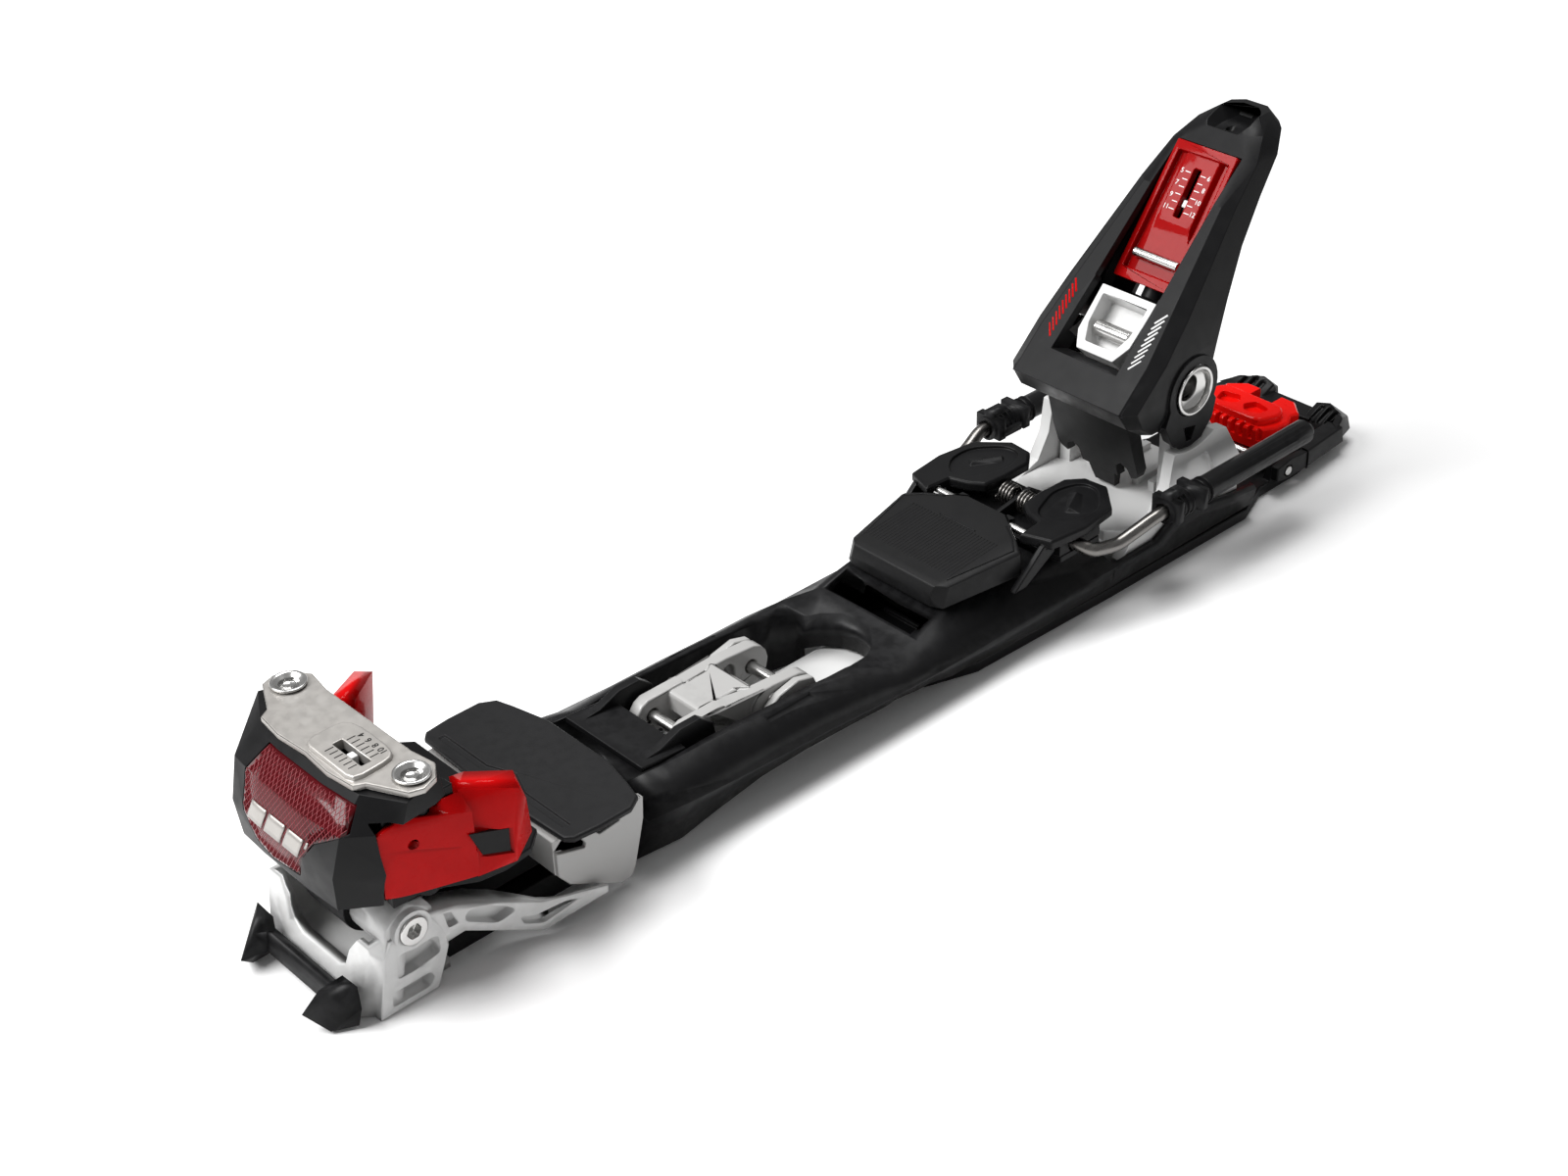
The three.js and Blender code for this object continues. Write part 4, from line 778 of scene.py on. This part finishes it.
def make_rail_bars():
    """Plain slanted bars on the heel lever's two rails, where the maker puts lettering."""
    tree = surface_of("heel_shell")
    for side, sign, slot in (("left", 1, "red_lacquer"), ("right", -1, "white_metal")):
        runs = []
        for i in range(9):
            z = 84 + 1.7 * i
            line = [on_face(sign * (19.2 + 0.3 * k), z + 0.3 * k, 20) for k in range(12)]
            runs += cast_runs(tree, [line], -FACE_NORMAL, lambda normal: normal.dot(FACE_NORMAL) > 0.9, -0.15)
        line_work(f"heel_rail_bars_{side}", runs, 0.5, "heel_lever", slot, 8)


def make_pad_trim():
    """The raised border and the rear tab of the brake pad's top."""
    tree = surface_of("brake_pad")
    border = [(241.5, 21.5), (269.5, 28), (274.5, 22.5), (280, 14)]
    runs = []
    for sign in (1, -1):
        points = []
        for (x0, y0), (x1, y1) in zip(border, border[1:]):
            shares = [i / 6 for i in range(6)]
            points += [at(x0 + (x1 - x0) * t, sign * (y0 + (y1 - y0) * t), ABOVE_PAD) for t in shares]
        runs += cast_runs(tree, [points], (0, 0, -1), lambda normal: normal.z > 0.5, -0.05)
    tab = [at(269.2 + abs(y) * 0.02, y, ABOVE_PAD) for y in range(-9, 10)]
    runs += cast_runs(tree, [tab], (0, 0, -1), lambda normal: True, -0.05)
    line_work("brake_pad_border", runs, 0.34, "brake_pad", "black_plastic", 8)


def make_sleeve_collars():
    """Moulded rings round the brake sleeves' front ends."""
    for side, sign in LEFT_AND_RIGHT:
        bm = bmesh.new()
        for x in (339.6, 342.2, 344.8, 353.4, 356):
            centre = at(x, sign * BRAKE_Y, BRAKE_Z)
            turns = [2 * math.pi * k / 36 for k in range(37)]
            around = [Vector((0, math.cos(turn), math.sin(turn))) for turn in turns]
            ring = [centre + direction * SLEEVE_RADIUS * MM for direction in around]
            add_tube(bm, ring, 0.45, 8)
        new_piece(f"brake_sleeve_rings_{side}", mesh_from("rings", bm), "brake_arms", "black_plastic")


INSERT_NORMAL = Vector((-0.802, 0, 0.597))
INSERT_UP = Vector((0.597, 0, 0.802))


def on_insert(y, z, out):
    """A place over the red insert's raised slope, `out` from it."""
    return at(370 + (z - 101) * 0.744, y, z) + INSERT_NORMAL * out * MM


def make_heel_scale():
    """The dial marks beside the heel's setting slit."""
    right = INSERT_UP.cross(INSERT_NORMAL)
    centres = [on_insert(y, 125.4 + 2.4 * i, -0.26) for i in range(6) for y in (-3.6, 3.6)]
    sides = (right, INSERT_UP, INSERT_NORMAL)
    ticks("heel_scale_marks", centres, *sides, (1.2, 0.16, 0.07), "heel_lever", "white_metal")
    figures = [
        (str(start - 2 * i), on_insert(y, 125.6 + 3.9 * i, -0.22), right, INSERT_UP)
        for start, y in ((12, -6.3), (11, 6.3)) for i in range(4)
    ]
    raised_figures("heel_scale_figures", figures, 2, "heel_lever", "white_metal")


# ---------------------------------------------------------------- every other node

BEVELS = {
    "toe_housing": 0.8,
    "heel_shell": 0.9,
    "main_frame": 0.7,
    "wing_left": 0.6,
    "wing_right": 0.6,
    "brake_pad": 1.2,
    "afd_plate": 0.4,
    "toe_window": 0.6,
    "climb_high": 0.7,
    "climb_low": 0.5,
    "mode_lever": 0.7,
    "toe_top_plate": 0.3,
    "front_spur": 0.7,
}
SPECIAL_MATERIALS = {
    "brake_pad": "brake_pad_plastic",
    # climb_low gets the brighter red lacquer copy, painted light for a part that lies in shade
    "climb_low": "red_lacquer_painted_lit",
    "heel_insert": "deep_red",
    "afd_bracket": "grey_metal",
    "mode_lever": "grey_metal",
    "mode_link": "grey_metal",
}

make_camera()
make_light()
make_rivets()
make_heel_axle()
make_brake_wires()
make_springs()
make_wing_insets()
make_window_mesh()
make_band()
make_pad_ribs()
make_toe_scale()
make_heel_scale()
make_rail_bars()
make_pad_trim()
make_sleeve_collars()

already = {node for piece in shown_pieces() for node in piece.get("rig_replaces", [])}
for node in sorted(set(NODES) - already):
    refined(node, BEVELS.get(node, 0.45), SPECIAL_MATERIALS.get(node))
for node, cad_part in NODES.items():
    cad_part.data.materials.clear()
    cad_part.data.materials.append(MATERIALS[SLOT_OF[node]])


def make_floor():
    bm = bmesh.new()
    bmesh.ops.create_grid(bm, x_segments=2, y_segments=2, size=FLOOR_SIZE)
    mesh = mesh_from("floor", bm)
    shader = Shader("floor", (0.86, 0.86, 0.86))
    shader.roughness(shader.noise(30, 2), 0.75, 0.85)
    mesh.materials.append(shader.material)
    floor = bpy.data.objects.new("floor", mesh)
    bpy.context.scene.collection.objects.link(floor)
    floor.location.z = cad_box[0].z - FLOOR_GAP * MM


make_floor()
